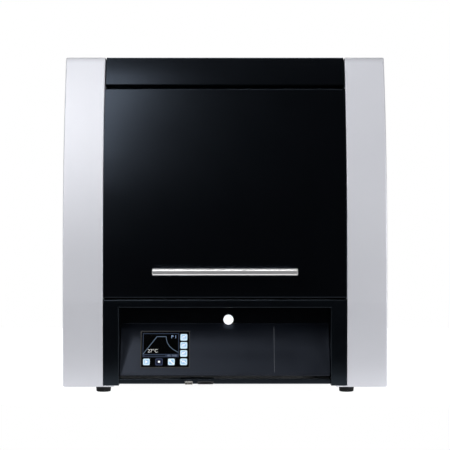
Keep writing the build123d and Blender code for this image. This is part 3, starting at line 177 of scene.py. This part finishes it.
def silver_paint():
    """Satin silver powder coat: metallic flakes under a faint orange peel, with painted shade along the upper front
    edge.
    """
    s = Surface("silver_paint", (0.775, 0.785, 0.845), 0.37, 0.2)
    s.soften_edges(0.7 * MM)
    flake = s.remap(s.cells(2600.0), 0.1, 0.6, 1.0, 0.0)
    cloud = s.noise(7.0, 3.0)
    base = s.mix(s.remap(cloud, 0.35, 0.65), (0.762, 0.772, 0.834), (0.782, 0.792, 0.852))
    coat = s.mix(s.times(flake, 0.2), base, (0.89, 0.90, 0.955))
    # Painted shade: the base colour darkens towards the top of the front face, where the edge turns away from the
    # lamps.
    rise = s.remap(s.axis("Z"), SHOULDER_HEIGHT * MM, TOP_HEIGHT * MM)
    in_front = s.remap(s.axis("Y"), -214.0 * MM, -208.0 * MM, 1.0, 0.0)
    painted_edge_shade = s.times(s.times(rise, rise), in_front)
    s.set("Base Color", s.mix(painted_edge_shade, coat, (0.47, 0.475, 0.51)))
    s.varied_roughness(s.noise(900.0, 2.0), 0.34, 0.40)
    s.bump(s.noise(520.0, 2.0, 0.45), 0.00006, 0.35)
    s.bump(s.noise(2400.0, 1.0), 0.00002, 0.3)
    return s.material


def black_paint():
    """Smooth semi-gloss black with a cool tint, hardly visible peel and a little dust."""
    s = Surface("black_paint", (0.0006, 0.0007, 0.001), 0.25)
    s.set("IOR", 1.5)
    s.set("Specular Tint", (0.63, 0.77, 1.0, 1.0))
    s.soften_edges(0.6 * MM)
    dust = s.remap(s.cells(240.0), 0.0, 0.035, 1.0, 0.0)
    haze = s.remap(s.noise(14.0, 4.0, 0.6), 0.4, 0.75)
    base = s.mix(haze, (0.0005, 0.0006, 0.0009), (0.0008, 0.0009, 0.0013))
    s.set("Base Color", s.mix(s.times(dust, 0.004), base, (0.5, 0.5, 0.5)))
    s.varied_roughness(s.noise(26.0, 5.0, 0.6), 0.18, 0.19)
    s.bump(s.noise(650.0, 2.0, 0.4), 0.00003, 0.2)
    return s.material


def black_plastic():
    """Moulded black with a fine satin grain."""
    s = Surface("black_plastic", (0.001, 0.0013, 0.0019), 0.3)
    s.set("IOR", 1.42)
    s.set("Specular Tint", (0.64, 0.8, 1.0, 1.0))
    s.soften_edges(0.6 * MM)
    s.varied_color(s.noise(38.0, 4.0), (0.0008, 0.0011, 0.0016), (0.0013, 0.0017, 0.0024))
    s.varied_roughness(s.noise(60.0, 3.0), 0.24, 0.27)
    s.bump(s.cells(1500.0), 0.00003, 0.35)
    return s.material


def slate_plastic():
    """Satin slate-grey moulding with a fine grain, its upright back wall glossier than the slope and painted darker
    as shade under the top of the niche.

    The slope's shading rolls away towards the crease at its top, and towards the left wall of the niche over a width
    that grows from the foot to the crease.
    """
    s = Surface("slate_plastic", (0.004, 0.0048, 0.0065), 0.36)
    s.set("IOR", 1.465)
    s.set("Specular Tint", (0.67, 0.77, 1.0, 1.0))
    s.soften_edges(0.7 * MM)
    mottle = s.remap(s.noise(20.0, 4.0), 0.35, 0.65)
    slope = s.mix(mottle, (0.0026, 0.0034, 0.0055), (0.0038, 0.0047, 0.0073))
    crease, below_crease, foot = CREASE_HEIGHT * MM, (CREASE_HEIGHT - 0.8) * MM, SLOPE_FOOT_HEIGHT * MM
    upright = s.remap(s.axis("Z"), below_crease, crease)
    # Painted shade: the upright back wall gets a near-black base colour, for the shade under the top of the niche.
    s.set("Base Color", s.mix(upright, slope, (0.0006, 0.0007, 0.0009)))
    grain = s.remap(s.noise(45.0, 5.0, 0.6), 0.35, 0.65, 0.33, 0.39)
    s.set("Roughness", s.math("SUBTRACT", grain, s.times(upright, 0.2)))

    width = s.remap(s.axis("Z"), foot, crease, 3.0 * MM, 30.0 * MM)
    from_wall = s.math("ADD", s.axis("X"), -NICHE_LEFT * MM)
    inward = s.remap(s.math("DIVIDE", from_wall, width), 0.0, 1.0, 1.0, 0.0)
    wall_depth = s.times(width, s.remap(s.axis("Z"), 105.0 * MM, below_crease, 0.2, 0.0))
    wall_side = s.times(s.times(inward, inward), wall_depth)
    rise = s.remap(s.axis("Z"), 80.0 * MM, crease)
    crease_side = s.times(s.times(rise, rise), 6.0 * MM)
    s.bump(s.math("SUBTRACT", wall_side, crease_side), 1.0)
    s.bump(s.cells(1700.0), 0.00003, 0.3)
    return s.material


def screen_rim():
    """Dark grey moulded rim of the display."""
    s = Surface("screen_rim", (0.004, 0.0044, 0.005), 0.4)
    s.varied_color(s.noise(90.0, 3.0), (0.0032, 0.0036, 0.0042), (0.0054, 0.0058, 0.0064))
    s.bump(s.cells(2200.0), 0.00002, 0.25)
    return s.material


def screen_glass():
    """Polished black glass with faint smears where it is touched."""
    s = Surface("screen_glass", (0.0006, 0.0007, 0.0009), 0.08)
    s.varied_roughness(s.noise(55.0, 6.0, 0.7), 0.03, 0.07, 0.45, 0.75)
    s.set("Coat Weight", 0.2)
    s.set("Coat Roughness", 0.03)
    return s.material


def button_white():
    """Translucent white cap, lit from inside with a faintly uneven glow."""
    s = Surface("button_white", (0.88, 0.9, 0.93), 0.28)
    s.set("Subsurface Weight", 0.25)
    s.set("Subsurface Scale", 0.002)
    s.set("Emission Color", (0.93, 0.97, 1.0, 1.0))
    s.set("Emission Strength", s.remap(s.noise(160.0, 2.0), 0.3, 0.7, 0.64, 0.74))
    s.bump(s.noise(900.0, 1.0), 0.00002, 0.15)
    return s.material


def brushed_bar():
    """Stainless bar brushed along its length, with hairlines a few centimetres long."""
    s = Surface("brushed_bar", (0.95, 0.95, 0.955), 0.17, 0.68)
    hairline = s.noise(1.0, 3.0, 0.6, stretch=(9.0, 3200.0, 3200.0))
    s.varied_color(hairline, (0.91, 0.91, 0.915), (0.95, 0.95, 0.955), 0.3, 0.7)
    s.varied_roughness(hairline, 0.16, 0.19, 0.3, 0.7)
    s.bump(hairline, 0.00001, 0.02)
    around = s.nodes.new("ShaderNodeTangent")
    around.direction_type = "RADIAL"
    around.axis = "X"
    s.set("Tangent", around.outputs["Tangent"])
    s.set("Anisotropic", 0.2)
    return s.material


def rubber_black():
    """Matte black rubber with a dusty bloom."""
    s = Surface("rubber_black", (0.003, 0.0033, 0.004), 0.7)
    s.set("Specular IOR Level", 0.25)
    s.varied_color(s.noise(160.0, 5.0, 0.65), (0.002, 0.0023, 0.003), (0.0045, 0.0048, 0.0055))
    s.bump(s.noise(1400.0, 3.0, 0.6), 0.00006, 0.4)
    return s.material


# ---------------------------------------------------------------- materials inside and behind


def plain_steel():
    """Zinc-plated sheet with rolled grain and the cloudy spangle of its plating."""
    s = Surface("plain_steel", (0.5, 0.51, 0.52), 0.36, 1.0)
    rolled = s.noise(1.0, 3.0, 0.6, stretch=(12.0, 900.0, 900.0))
    spangle = s.cells(120.0, "Color")
    shade = s.mix(s.remap(rolled, 0.3, 0.7), (0.43, 0.44, 0.45), (0.56, 0.57, 0.58))
    s.set("Base Color", s.mix(0.06, shade, spangle, "SOFT_LIGHT"))
    s.varied_roughness(s.noise(30.0, 5.0, 0.6), 0.3, 0.46)
    s.bump(rolled, 0.00002, 0.25)
    return s.material


def heated_steel():
    """Steel plate round the chamber mouth, tinted by heat near the opening."""
    s = Surface("heated_steel", (0.42, 0.42, 0.42), 0.4, 1.0)
    rolled = s.noise(1.0, 3.0, 0.6, stretch=(14.0, 900.0, 900.0))
    cloud = s.noise(22.0, 5.0, 0.6)
    across = s.math("ABSOLUTE", s.axis("X"))
    upward = s.math("ABSOLUTE", s.math("SUBTRACT", s.axis("Z"), MOUTH_HEIGHT * MM))
    reach = s.math("ADD", s.math("MAXIMUM", across, upward), s.times(cloud, 20.0 * MM))
    heat = s.remap(reach, 100.0 * MM, 135.0 * MM, 1.0, 0.0, smooth=True)
    plain = s.mix(s.remap(rolled, 0.3, 0.7), (0.40, 0.405, 0.41), (0.52, 0.525, 0.53))
    s.set("Base Color", s.mix(s.times(heat, 0.75), plain, (0.36, 0.25, 0.15)))
    s.varied_roughness(cloud, 0.34, 0.5)
    s.bump(rolled, 0.00002, 0.25)
    return s.material


def frame_steel():
    """Grey primer on folded steel, slightly mottled."""
    s = Surface("frame_steel", (0.2, 0.205, 0.215), 0.5, 0.1)
    s.varied_color(s.noise(60.0, 5.0, 0.6), (0.17, 0.175, 0.185), (0.235, 0.24, 0.25))
    s.varied_roughness(s.noise(90.0, 3.0), 0.44, 0.58)
    s.bump(s.noise(800.0, 3.0), 0.00006, 0.35)
    return s.material


def nickel():
    """Nickel plate with fine scuffs."""
    s = Surface("nickel", (0.66, 0.64, 0.6), 0.2, 1.0)
    s.varied_color(s.noise(240.0, 3.0), (0.58, 0.565, 0.535), (0.72, 0.70, 0.665))
    s.varied_roughness(s.noise(700.0, 4.0, 0.65), 0.14, 0.32)
    s.bump(s.noise(1.0, 2.0, 0.5, stretch=(1800.0, 240.0, 1800.0)), 0.00001, 0.3)
    return s.material


def fibre_board():
    """Pressed white ceramic fibre: matted short fibres, soft pits and a faint warm stain."""
    s = Surface("fibre_board", (0.82, 0.81, 0.78), 0.95)
    s.set("Sheen Weight", 0.25)
    s.set("Sheen Roughness", 0.6)
    fibre = s.noise(420.0, 6.0, 0.7, stretch=(1.0, 1.0, 0.45), distortion=1.4)
    stain = s.remap(s.noise(16.0, 5.0, 0.6), 0.45, 0.7)
    white = s.mix(s.remap(fibre, 0.3, 0.7), (0.74, 0.725, 0.69), (0.88, 0.875, 0.85))
    s.set("Base Color", s.mix(s.times(stain, 0.35), white, (0.74, 0.68, 0.56)))
    s.bump(s.cells(260.0, feature="SMOOTH_F1"), 0.0006, 0.45)
    s.bump(fibre, 0.0004, 0.6)
    return s.material


def ceramic_white():
    """Unglazed ceramic with fine grains and a few darker specks."""
    s = Surface("ceramic_white", (0.8, 0.78, 0.72), 0.62)
    grain = s.noise(1100.0, 4.0, 0.65)
    speck = s.remap(s.cells(420.0), 0.0, 0.12, 1.0, 0.0)
    white = s.mix(s.remap(grain, 0.3, 0.7), (0.74, 0.72, 0.66), (0.85, 0.835, 0.79))
    s.set("Base Color", s.mix(s.times(speck, 0.35), white, (0.42, 0.37, 0.3)))
    s.bump(grain, 0.00008, 0.5)
    return s.material


def element_grey():
    """Silicide element with a glassy skin, mottled where it has been hot."""
    s = Surface("element_grey", (0.1, 0.095, 0.09), 0.3, 0.25)
    s.varied_color(s.noise(190.0, 5.0, 0.65), (0.06, 0.056, 0.054), (0.2, 0.185, 0.17))
    s.varied_roughness(s.noise(300.0, 3.0), 0.22, 0.45)
    s.set("Coat Weight", 0.4)
    s.set("Coat Roughness", 0.15)
    s.bump(s.noise(700.0, 3.0), 0.00006, 0.4)
    return s.material


def aluminium():
    """Plain extruded aluminium with die lines."""
    s = Surface("aluminium", (0.7, 0.71, 0.72), 0.32, 1.0)
    line = s.noise(1.0, 3.0, 0.6, stretch=(1500.0, 1500.0, 14.0))
    s.varied_color(line, (0.6, 0.61, 0.62), (0.78, 0.785, 0.79), 0.3, 0.7)
    s.varied_roughness(s.noise(80.0, 4.0), 0.26, 0.42)
    s.bump(line, 0.00002, 0.3)
    return s.material


def core_steel():
    """Stack of varnished laminations."""
    s = Surface("core_steel", (0.14, 0.12, 0.1), 0.45, 0.6)
    sheets = s.noise(1.0, 1.0, 0.4, stretch=(2.0, 1900.0, 2.0))
    s.varied_color(sheets, (0.07, 0.06, 0.055), (0.22, 0.19, 0.16), 0.3, 0.7)
    s.varied_roughness(s.noise(120.0, 4.0), 0.35, 0.55)
    s.bump(sheets, 0.0001, 0.5)
    return s.material


def copper():
    """Layers of enamelled wire wound side by side, with painted shade in the grooves between the turns."""
    s = Surface("copper", (0.52, 0.2, 0.08), 0.3, 0.9)
    wire_pitch = 1.6 * MM
    wire = s.math("SINE", s.times(s.axis("Z"), math.tau / wire_pitch))
    # Painted shade: the base colour turns dark in the grooves between the turns.
    s.set("Base Color", s.mix(s.remap(wire, -1.0, 0.2), (0.09, 0.03, 0.015), (0.58, 0.24, 0.1)))
    s.varied_roughness(s.noise(200.0, 3.0), 0.24, 0.4)
    s.bump(wire, 0.0003, 0.7)
    return s.material


def board_green():
    """Green solder mask, raised over the tracks."""
    s = Surface("board_green", (0.02, 0.11, 0.05), 0.32)
    tracks = s.cells(160.0, feature="DISTANCE_TO_EDGE", stretch=(1.0, 0.35, 1.0))
    between = s.remap(tracks, 0.05, 0.09)
    s.set("Base Color", s.mix(between, (0.035, 0.17, 0.08), (0.014, 0.085, 0.038)))
    s.varied_roughness(s.noise(140.0, 3.0), 0.25, 0.42)
    s.bump(s.remap(tracks, 0.04, 0.1, 1.0, 0.0), 0.00004, 0.6)
    return s.material


def inner_black():
    """Matte black moulding with a spark-eroded grain."""
    s = Surface("inner_black", (0.013, 0.013, 0.0145), 0.52)
    s.varied_color(s.noise(75.0, 4.0), (0.010, 0.0103, 0.0115), (0.018, 0.0183, 0.02))
    s.varied_roughness(s.noise(120.0, 3.0), 0.46, 0.6)
    s.bump(s.noise(1900.0, 2.0, 0.6), 0.00005, 0.4)
    return s.material


def glowing(name, color):
    """Display graphics: an even glow cut by the display's pixel grid."""
    s = Surface(name, (0.0, 0.0, 0.0), 0.25)
    s.set("Specular IOR Level", 0.1)
    pitch = 0.18 * MM
    column = s.math("SINE", s.times(s.axis("X"), math.tau / pitch))
    row = s.math("SINE", s.times(s.axis("Z"), math.tau / pitch))
    grid = s.math("MAXIMUM", column, row)
    s.set("Emission Color", (*color, 1.0))
    s.set("Emission Strength", s.remap(grid, 0.2, 1.0, 1.04, 0.9))
    return s.material


def printed_line():
    """Thin silver-grey screen print."""
    s = Surface("printed_line", (0.1, 0.11, 0.13), 0.45)
    s.varied_color(s.noise(600.0, 3.0), (0.08, 0.088, 0.105), (0.12, 0.132, 0.155))
    return s.material


SLOT_MATERIALS = {
    make.__name__: make()
    for make in (
        silver_paint,
        black_paint,
        black_plastic,
        slate_plastic,
        screen_rim,
        screen_glass,
        button_white,
        brushed_bar,
        rubber_black,
        plain_steel,
        frame_steel,
        nickel,
        fibre_board,
        ceramic_white,
        element_grey,
        aluminium,
        core_steel,
        copper,
        board_green,
        inner_black,
    )
}


def finish_node(name, material):
    """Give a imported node's only slot a material."""
    frame["nodes"][name].material_slots[0].material = material


for part in frame["record"]["subparts"]:
    finish_node(part["node"], SLOT_MATERIALS[part["material_slot"]])
finish_node("mouth_frame", heated_steel())

# ---------------------------------------------------------------- piece helpers


def new_piece(name, mesh, material, body="furnace"):
    """Object of a mesh whose points are already in the frame's coordinates, carried by a body."""
    mesh.name = name
    mesh.materials.clear()
    mesh.materials.append(material)
    piece = bpy.data.objects.new(name, mesh)
    bpy.context.scene.collection.objects.link(piece)
    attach(piece, body)
    return piece


def raised_mesh(outlines, plane, thickness):
    """Closed plates with the given outlines, (x, y) in metres on a plane, raised from it."""
    mesh = bpy.data.meshes.new("plates")
    build = bmesh.new()
    for outline in outlines:
        low = [build.verts.new(plane @ Vector((x, y, 0.0))) for x, y in outline]
        high = [build.verts.new(plane @ Vector((x, y, thickness))) for x, y in outline]
        build.faces.new(high)
        build.faces.new(low[::-1])
        count = len(outline)
        for index in range(count):
            after = (index + 1) % count
            build.faces.new((low[index], low[after], high[after], high[index]))
    bmesh.ops.recalc_face_normals(build, faces=build.faces)
    build.to_mesh(mesh)
    build.free()
    return mesh


def rounded_rectangle(left, right, bottom, top, radius, steps=4):
    """Outline of a rectangle with rounded corners."""
    outline = []
    corners = (
        (right - radius, top - radius, 0.0),
        (left + radius, top - radius, 90.0),
        (left + radius, bottom + radius, 180.0),
        (right - radius, bottom + radius, 270.0),
    )
    for x, y, start in corners:
        for step in range(steps + 1):
            angle = math.radians(start + 90.0 * step / steps)
            outline.append((x + radius * math.cos(angle), y + radius * math.sin(angle)))
    return outline


def stroke(points, width):
    """Outlines of short bars that join the points, each a little over-long so that they meet."""
    bars = []
    for (x0, y0), (x1, y1) in zip(points, points[1:]):
        length = math.hypot(x1 - x0, y1 - y0)
        along = ((x1 - x0) / length * width / 2, (y1 - y0) / length * width / 2)
        x0, y0, x1, y1 = x0 - along[0], y0 - along[1], x1 + along[0], y1 + along[1]
        side = (-along[1], along[0])
        bars.append(
            [
                (x0 - side[0], y0 - side[1]),
                (x1 - side[0], y1 - side[1]),
                (x1 + side[0], y1 + side[1]),
                (x0 + side[0], y0 + side[1]),
            ]
        )
    return bars


def text_mesh(words, size, plane, thickness):
    """Lettering as a thin solid on a plane, its origin at the middle of the words."""
    curve = bpy.data.curves.new("words", "FONT")
    curve.body = words
    curve.size = size
    curve.extrude = thickness / 2
    curve.align_x = "CENTER"
    curve.align_y = "CENTER"
    maker = bpy.data.objects.new("words", curve)
    mesh = bpy.data.meshes.new_from_object(maker)
    mesh.transform(plane @ Matrix.Translation((0.0, 0.0, thickness / 2)))
    bpy.data.objects.remove(maker)
    return mesh


# ---------------------------------------------------------------- control panel

SLOPE_TOP = Vector((0.0, CREASE_DEPTH, CREASE_HEIGHT)) * MM
SLOPE_BOTTOM = Vector((0.0, SLOPE_FOOT_DEPTH, SLOPE_FOOT_HEIGHT)) * MM
SLOPE_UP = (SLOPE_TOP - SLOPE_BOTTOM).normalized()
SLOPE_OUT = Vector((1.0, 0.0, 0.0)).cross(SLOPE_UP)
SCREEN_MIDDLE = SLOPE_TOP - SLOPE_UP * 46.0 * MM + Vector((-99.5, 0.0, 0.0)) * MM
SCREEN_SIZE = (79.0 * MM, 61.4 * MM)


def slope_plane(origin, height):
    """Plane parallel to the sloping panel, with X to the right and Y up the slope."""
    middle = origin + SLOPE_OUT * height
    across = Vector((1.0, 0.0, 0.0))
    return Matrix(
        (
            (across.x, SLOPE_UP.x, SLOPE_OUT.x, middle.x),
            (across.y, SLOPE_UP.y, SLOPE_OUT.y, middle.y),
            (across.z, SLOPE_UP.z, SLOPE_OUT.z, middle.z),
            (0.0, 0.0, 0.0, 1.0),
        )
    )


def on_screen(across, down):
    """Point of the display, given as shares of its width and height from the upper left corner."""
    return ((across - 0.5) * SCREEN_SIZE[0], (0.5 - down) * SCREEN_SIZE[1])


def screen_rectangle(left, top, right, bottom, radius):
    """Rounded rectangle on the display, its sides given as shares of the display."""
    x0, y1 = on_screen(left, top)
    x1, y0 = on_screen(right, bottom)
    return rounded_rectangle(x0, x1, y0, y1, radius * MM)


def screen_points(*places):
    """Points of the display for several places given as shares of it."""
    return [on_screen(*place) for place in places]


def screen_piece(name, mesh, glow_name, color):
    """Piece of the display's picture, with a glow of its own."""
    new_piece(name, mesh, glowing(glow_name, color))


GLASS_HEIGHT = 0.2 * MM  # of the touch screen's face above the sloping panel
LAYER_THICKNESS = 0.03 * MM
LAYERS = [slope_plane(SCREEN_MIDDLE, GLASS_HEIGHT + lift * MM) for lift in (0.01, 0.05, 0.09)]


def screen_chart():
    """Frame and progress bar of the firing chart, and its curve: climb, hold and cooling."""
    border = screen_points((0.033, 0.05), (0.781, 0.05), (0.781, 0.64), (0.033, 0.64), (0.033, 0.05))
    progress = [
        screen_rectangle(0.026, 0.640, 0.787, 0.667, 0.2),
        screen_rectangle(0.026, 0.694, 0.787, 0.721, 0.2),
        screen_rectangle(0.026, 0.66, 0.065, 0.70, 0.2),
        screen_rectangle(0.503, 0.66, 0.787, 0.70, 0.2),
    ]
    chart = raised_mesh([*stroke(border, 1.15 * MM), *progress], LAYERS[0], LAYER_THICKNESS)
    screen_piece("display_chart", chart, "glow_chart", (0.026, 0.038, 0.068))
    climb = screen_points((0.039, 0.627), (0.324, 0.136), (0.515, 0.136))
    fall = screen_points((0.515, 0.136), (0.524, 0.22), (0.543, 0.312), (0.59, 0.41), (0.664, 0.50), (0.776, 0.583))
    curve = raised_mesh([*stroke(climb, 1.2 * MM), *stroke(fall, 1.0 * MM)], LAYERS[1], LAYER_THICKNESS)
    screen_piece("display_curve", curve, "glow_curve", (0.10, 0.14, 0.20))


def screen_readings():
    """Temperature, program number and times."""
    readings = (
        ("reading", "27°C", 8.1, (0.240, 0.547), (0.75, 0.75, 0.74)),
        ("program", "P 1", 7.4, (0.682, 0.145), (0.33, 0.46, 0.7)),
        ("times", "0%  0:00", 4.6, (0.65, 0.681), (0.2, 0.24, 0.33)),
    )
    for name, words, size, place, color in readings:
        plane = LAYERS[2] @ Matrix.Translation((*on_screen(*place), 0.0))
        letters = text_mesh(words, size * MM, plane, LAYER_THICKNESS)
        screen_piece(f"display_{name}", letters, f"glow_{name}", color)


def screen_keys():
    """Six light keys and the dark stop key, each a rim with a face, and the symbols on them."""
    column_tops = (0.063, 0.293, 0.523, 0.759)
    keys = [(0.818, top, 0.964, top + 0.186) for top in column_tops]
    keys += [(0.040, 0.762, 0.180, 0.946), (0.563, 0.762, 0.704, 0.946)]
    rims = [screen_rectangle(*key, 1.9) for key in keys]
    faces = [
        screen_rectangle(left + 0.022, top + 0.03, right - 0.022, bottom - 0.03, 0.8)
        for left, top, right, bottom in keys
    ]
    stop_rim = [screen_rectangle(0.296, 0.757, 0.452, 0.953, 1.9)]
    stop_face = [screen_rectangle(0.316, 0.781, 0.435, 0.926, 0.9)]

    square = screen_rectangle(0.352, 0.824, 0.397, 0.878, 0.4)
    triangle = screen_points((0.087, 0.803), (0.087, 0.905), (0.142, 0.854))
    spanner = stroke(screen_points((0.60, 0.815), (0.670, 0.905)), 2.2 * MM)
    spanner += stroke(screen_points((0.590, 0.833), (0.606, 0.838), (0.618, 0.802)), 1.5 * MM)
    symbols = [square, triangle, *spanner]
    for top in column_tops[:3]:
        trace = ((0.853, top + 0.115), (0.875, top + 0.065), (0.893, top + 0.095), (0.924, top + 0.045))
        symbols += stroke(screen_points(*trace), 1.3 * MM)
        symbols += stroke(screen_points((0.85, top + 0.14), (0.93, top + 0.14)), 0.9 * MM)
    symbols += stroke(screen_points((0.853, 0.815), (0.875, 0.86), (0.895, 0.825), (0.93, 0.885)), 1.5 * MM)

    layers = (
        ("keys", rims, 0, "key_rim", (0.66, 0.86, 1.0)),
        ("key_faces", faces, 1, "key", (0.40, 0.64, 0.90)),
        ("stop_rim", stop_rim, 0, "stop_rim", (0.03, 0.042, 0.085)),
        ("stop_face", stop_face, 1, "stop", (0.004, 0.006, 0.028)),
        ("symbols", symbols, 2, "symbol", (0.95, 0.98, 1.0)),
    )
    for name, outlines, layer, glow, color in layers:
        mesh = raised_mesh(outlines, LAYERS[layer], LAYER_THICKNESS)
        screen_piece(f"display_{name}", mesh, f"glow_{glow}", color)


def panel_line():
    """Fine upright printed line on the sloping panel."""
    half_width, length = 0.3 * MM, 80.0 * MM
    lower_end = SLOPE_TOP - SLOPE_UP * 86.0 * MM + Vector((81.8, 0.0, 0.0)) * MM
    outline = [(-half_width, 0.0), (half_width, 0.0), (half_width, length), (-half_width, length)]
    line = raised_mesh([outline], slope_plane(lower_end, 0.0), 0.05 * MM)
    new_piece("panel_line", line, printed_line())


screen_chart()
screen_readings()
screen_keys()
panel_line()

# ---------------------------------------------------------------- studio


LIGHT_TARGET = Vector((0.0, -0.25, 0.3))
LIGHT_DISTANCE = 2.4
# Name, azimuth and elevation in degrees, width and height in metres, power in watts.
LAMPS = (
    ("key", -19.0, 35.0, (0.62, 0.9), 8.2),
    ("key_mid", -15.5, 21.0, (0.45, 0.45), 1.0),
    ("key_low", -23.0, 14.0, (0.55, 0.95), 7.4),
    ("high_left", -45.0, 45.0, (1.0, 1.1), 4.2),
    ("overhead", -3.0, 66.0, (1.0, 0.2), 9.8),
    ("side_left", -65.0, 12.0, (1.5, 1.6), 14.4),
    ("side_right", 50.0, 3.0, (1.3, 0.8), 27.4),
    ("rear_left", -160.0, 44.0, (2.4, 1.2), 16.0),
    ("rear_right", 160.0, 44.0, (2.4, 1.2), 16.0),
)
ROOM_COLOR = (0.93, 0.96, 1.0, 1.0)
ROOM_STRENGTH = 0.022
WHITE = (1.0, 1.0, 1.0, 1.0)
FLOOR_TONE = (0.5, 0.5, 0.5, 1.0)
FLOOR_GLOW = 0.95
FLOOR_FRONT, FLOOR_REAR, FLOOR_SIDE = -0.42, 1.3, 1.1
CAMERA_PLACE = (0.0, -2.774, 0.278)
CAMERA_SENSOR = 36.0
CAMERA_LENS = 121.5


def studio_light(name, azimuth, elevation, size, energy):
    """Soft rectangular lamp, not seen itself, in a direction in degrees: azimuth 0 in front, 90 to the right."""
    turn, rise = math.radians(azimuth), math.radians(elevation)
    toward = Vector((math.sin(turn) * math.cos(rise), -math.cos(turn) * math.cos(rise), math.sin(rise)))
    lamp = bpy.data.lights.new(name, "AREA")
    lamp.shape = "RECTANGLE"
    lamp.size, lamp.size_y = size
    lamp.energy = energy
    holder = bpy.data.objects.new(name, lamp)
    holder.location = LIGHT_TARGET + toward * LIGHT_DISTANCE
    holder.rotation_euler = (-toward).to_track_quat("-Z", "Y").to_euler()
    holder.visible_camera = False
    bpy.context.scene.collection.objects.link(holder)


def combined(tree, operation, first, second):
    """Output of a math node of two outputs."""
    node = tree.nodes.new("ShaderNodeMath")
    node.operation = operation
    tree.links.new(first, node.inputs[0])
    tree.links.new(second, node.inputs[1])
    return node.outputs[0]


def background(tree, color, strength=1.0):
    """Output of an even background."""
    node = tree.nodes.new("ShaderNodeBackground")
    node.inputs["Color"].default_value = color
    node.inputs["Strength"].default_value = strength
    return node.outputs[0]


def make_world():
    """White seen directly, and in gloss towards the rear and below, with a dim room for everything else."""
    world = bpy.data.worlds.new("studio")
    bpy.context.scene.world = world
    world.use_nodes = True
    tree = world.node_tree
    tree.nodes.clear()
    path = tree.nodes.new("ShaderNodeLightPath")
    place = tree.nodes.new("ShaderNodeTexCoord")
    split = tree.nodes.new("ShaderNodeSeparateXYZ")
    tree.links.new(place.outputs["Generated"], split.inputs[0])
    gloss = path.outputs["Is Glossy Ray"]
    for axis, start, end in (("Y", 0.0, 0.5), ("Z", 0.1, 0.0)):
        ramp = tree.nodes.new("ShaderNodeMapRange")
        ramp.interpolation_type = "SMOOTHSTEP"
        ramp.inputs["From Min"].default_value = start
        ramp.inputs["From Max"].default_value = end
        tree.links.new(split.outputs[axis], ramp.inputs["Value"])
        gloss = combined(tree, "MULTIPLY", gloss, ramp.outputs["Result"])
    shown = path.outputs["Is Camera Ray"]
    for other in (path.outputs["Is Transmission Ray"], gloss):
        shown = combined(tree, "MAXIMUM", shown, other)
    mix = tree.nodes.new("ShaderNodeMixShader")
    tree.links.new(shown, mix.inputs[0])
    tree.links.new(background(tree, ROOM_COLOR, ROOM_STRENGTH), mix.inputs[1])
    tree.links.new(background(tree, WHITE), mix.inputs[2])
    output = tree.nodes.new("ShaderNodeOutputWorld")
    tree.links.new(mix.outputs[0], output.inputs[0])


def make_floor():
    """Pale floor that shows white, and keeps the object's soft shadow."""
    mesh = bpy.data.meshes.new("floor")
    corners = [
        (-FLOOR_SIDE, FLOOR_FRONT, 0.0),
        (FLOOR_SIDE, FLOOR_FRONT, 0.0),
        (FLOOR_SIDE, FLOOR_REAR, 0.0),
        (-FLOOR_SIDE, FLOOR_REAR, 0.0),
    ]
    mesh.from_pydata(corners, [], [(0, 1, 2, 3)])
    floor = bpy.data.objects.new("floor", mesh)
    bpy.context.scene.collection.objects.link(floor)
    material = bpy.data.materials.new("floor_white")
    material.use_nodes = True
    tree = material.node_tree
    shader = tree.nodes["Principled BSDF"]
    shader.inputs["Base Color"].default_value = FLOOR_TONE
    shader.inputs["Roughness"].default_value = 0.9
    shader.inputs["Emission Color"].default_value = WHITE
    path = tree.nodes.new("ShaderNodeLightPath")
    shown = path.outputs["Is Camera Ray"]
    for name in ("Is Glossy Ray", "Is Transmission Ray"):
        shown = combined(tree, "MAXIMUM", shown, path.outputs[name])
    glow = tree.nodes.new("ShaderNodeMath")
    glow.operation = "MULTIPLY"
    glow.inputs[1].default_value = FLOOR_GLOW
    tree.links.new(shown, glow.inputs[0])
    tree.links.new(glow.outputs[0], shader.inputs["Emission Strength"])
    mesh.materials.append(material)


def make_camera():
    """Level camera at the photograph's distance and height."""
    data = bpy.data.cameras.new("camera")
    data.sensor_width = CAMERA_SENSOR
    data.lens = CAMERA_LENS
    camera = bpy.data.objects.new("camera", data)
    camera.location = CAMERA_PLACE
    camera.rotation_euler = (math.radians(90.0), 0.0, 0.0)
    bpy.context.scene.collection.objects.link(camera)
    bpy.context.scene.camera = camera


make_world()
make_floor()
make_camera()
for lamp in LAMPS:
    studio_light(*lamp)
bpy.context.scene.view_settings.view_transform = "Standard"
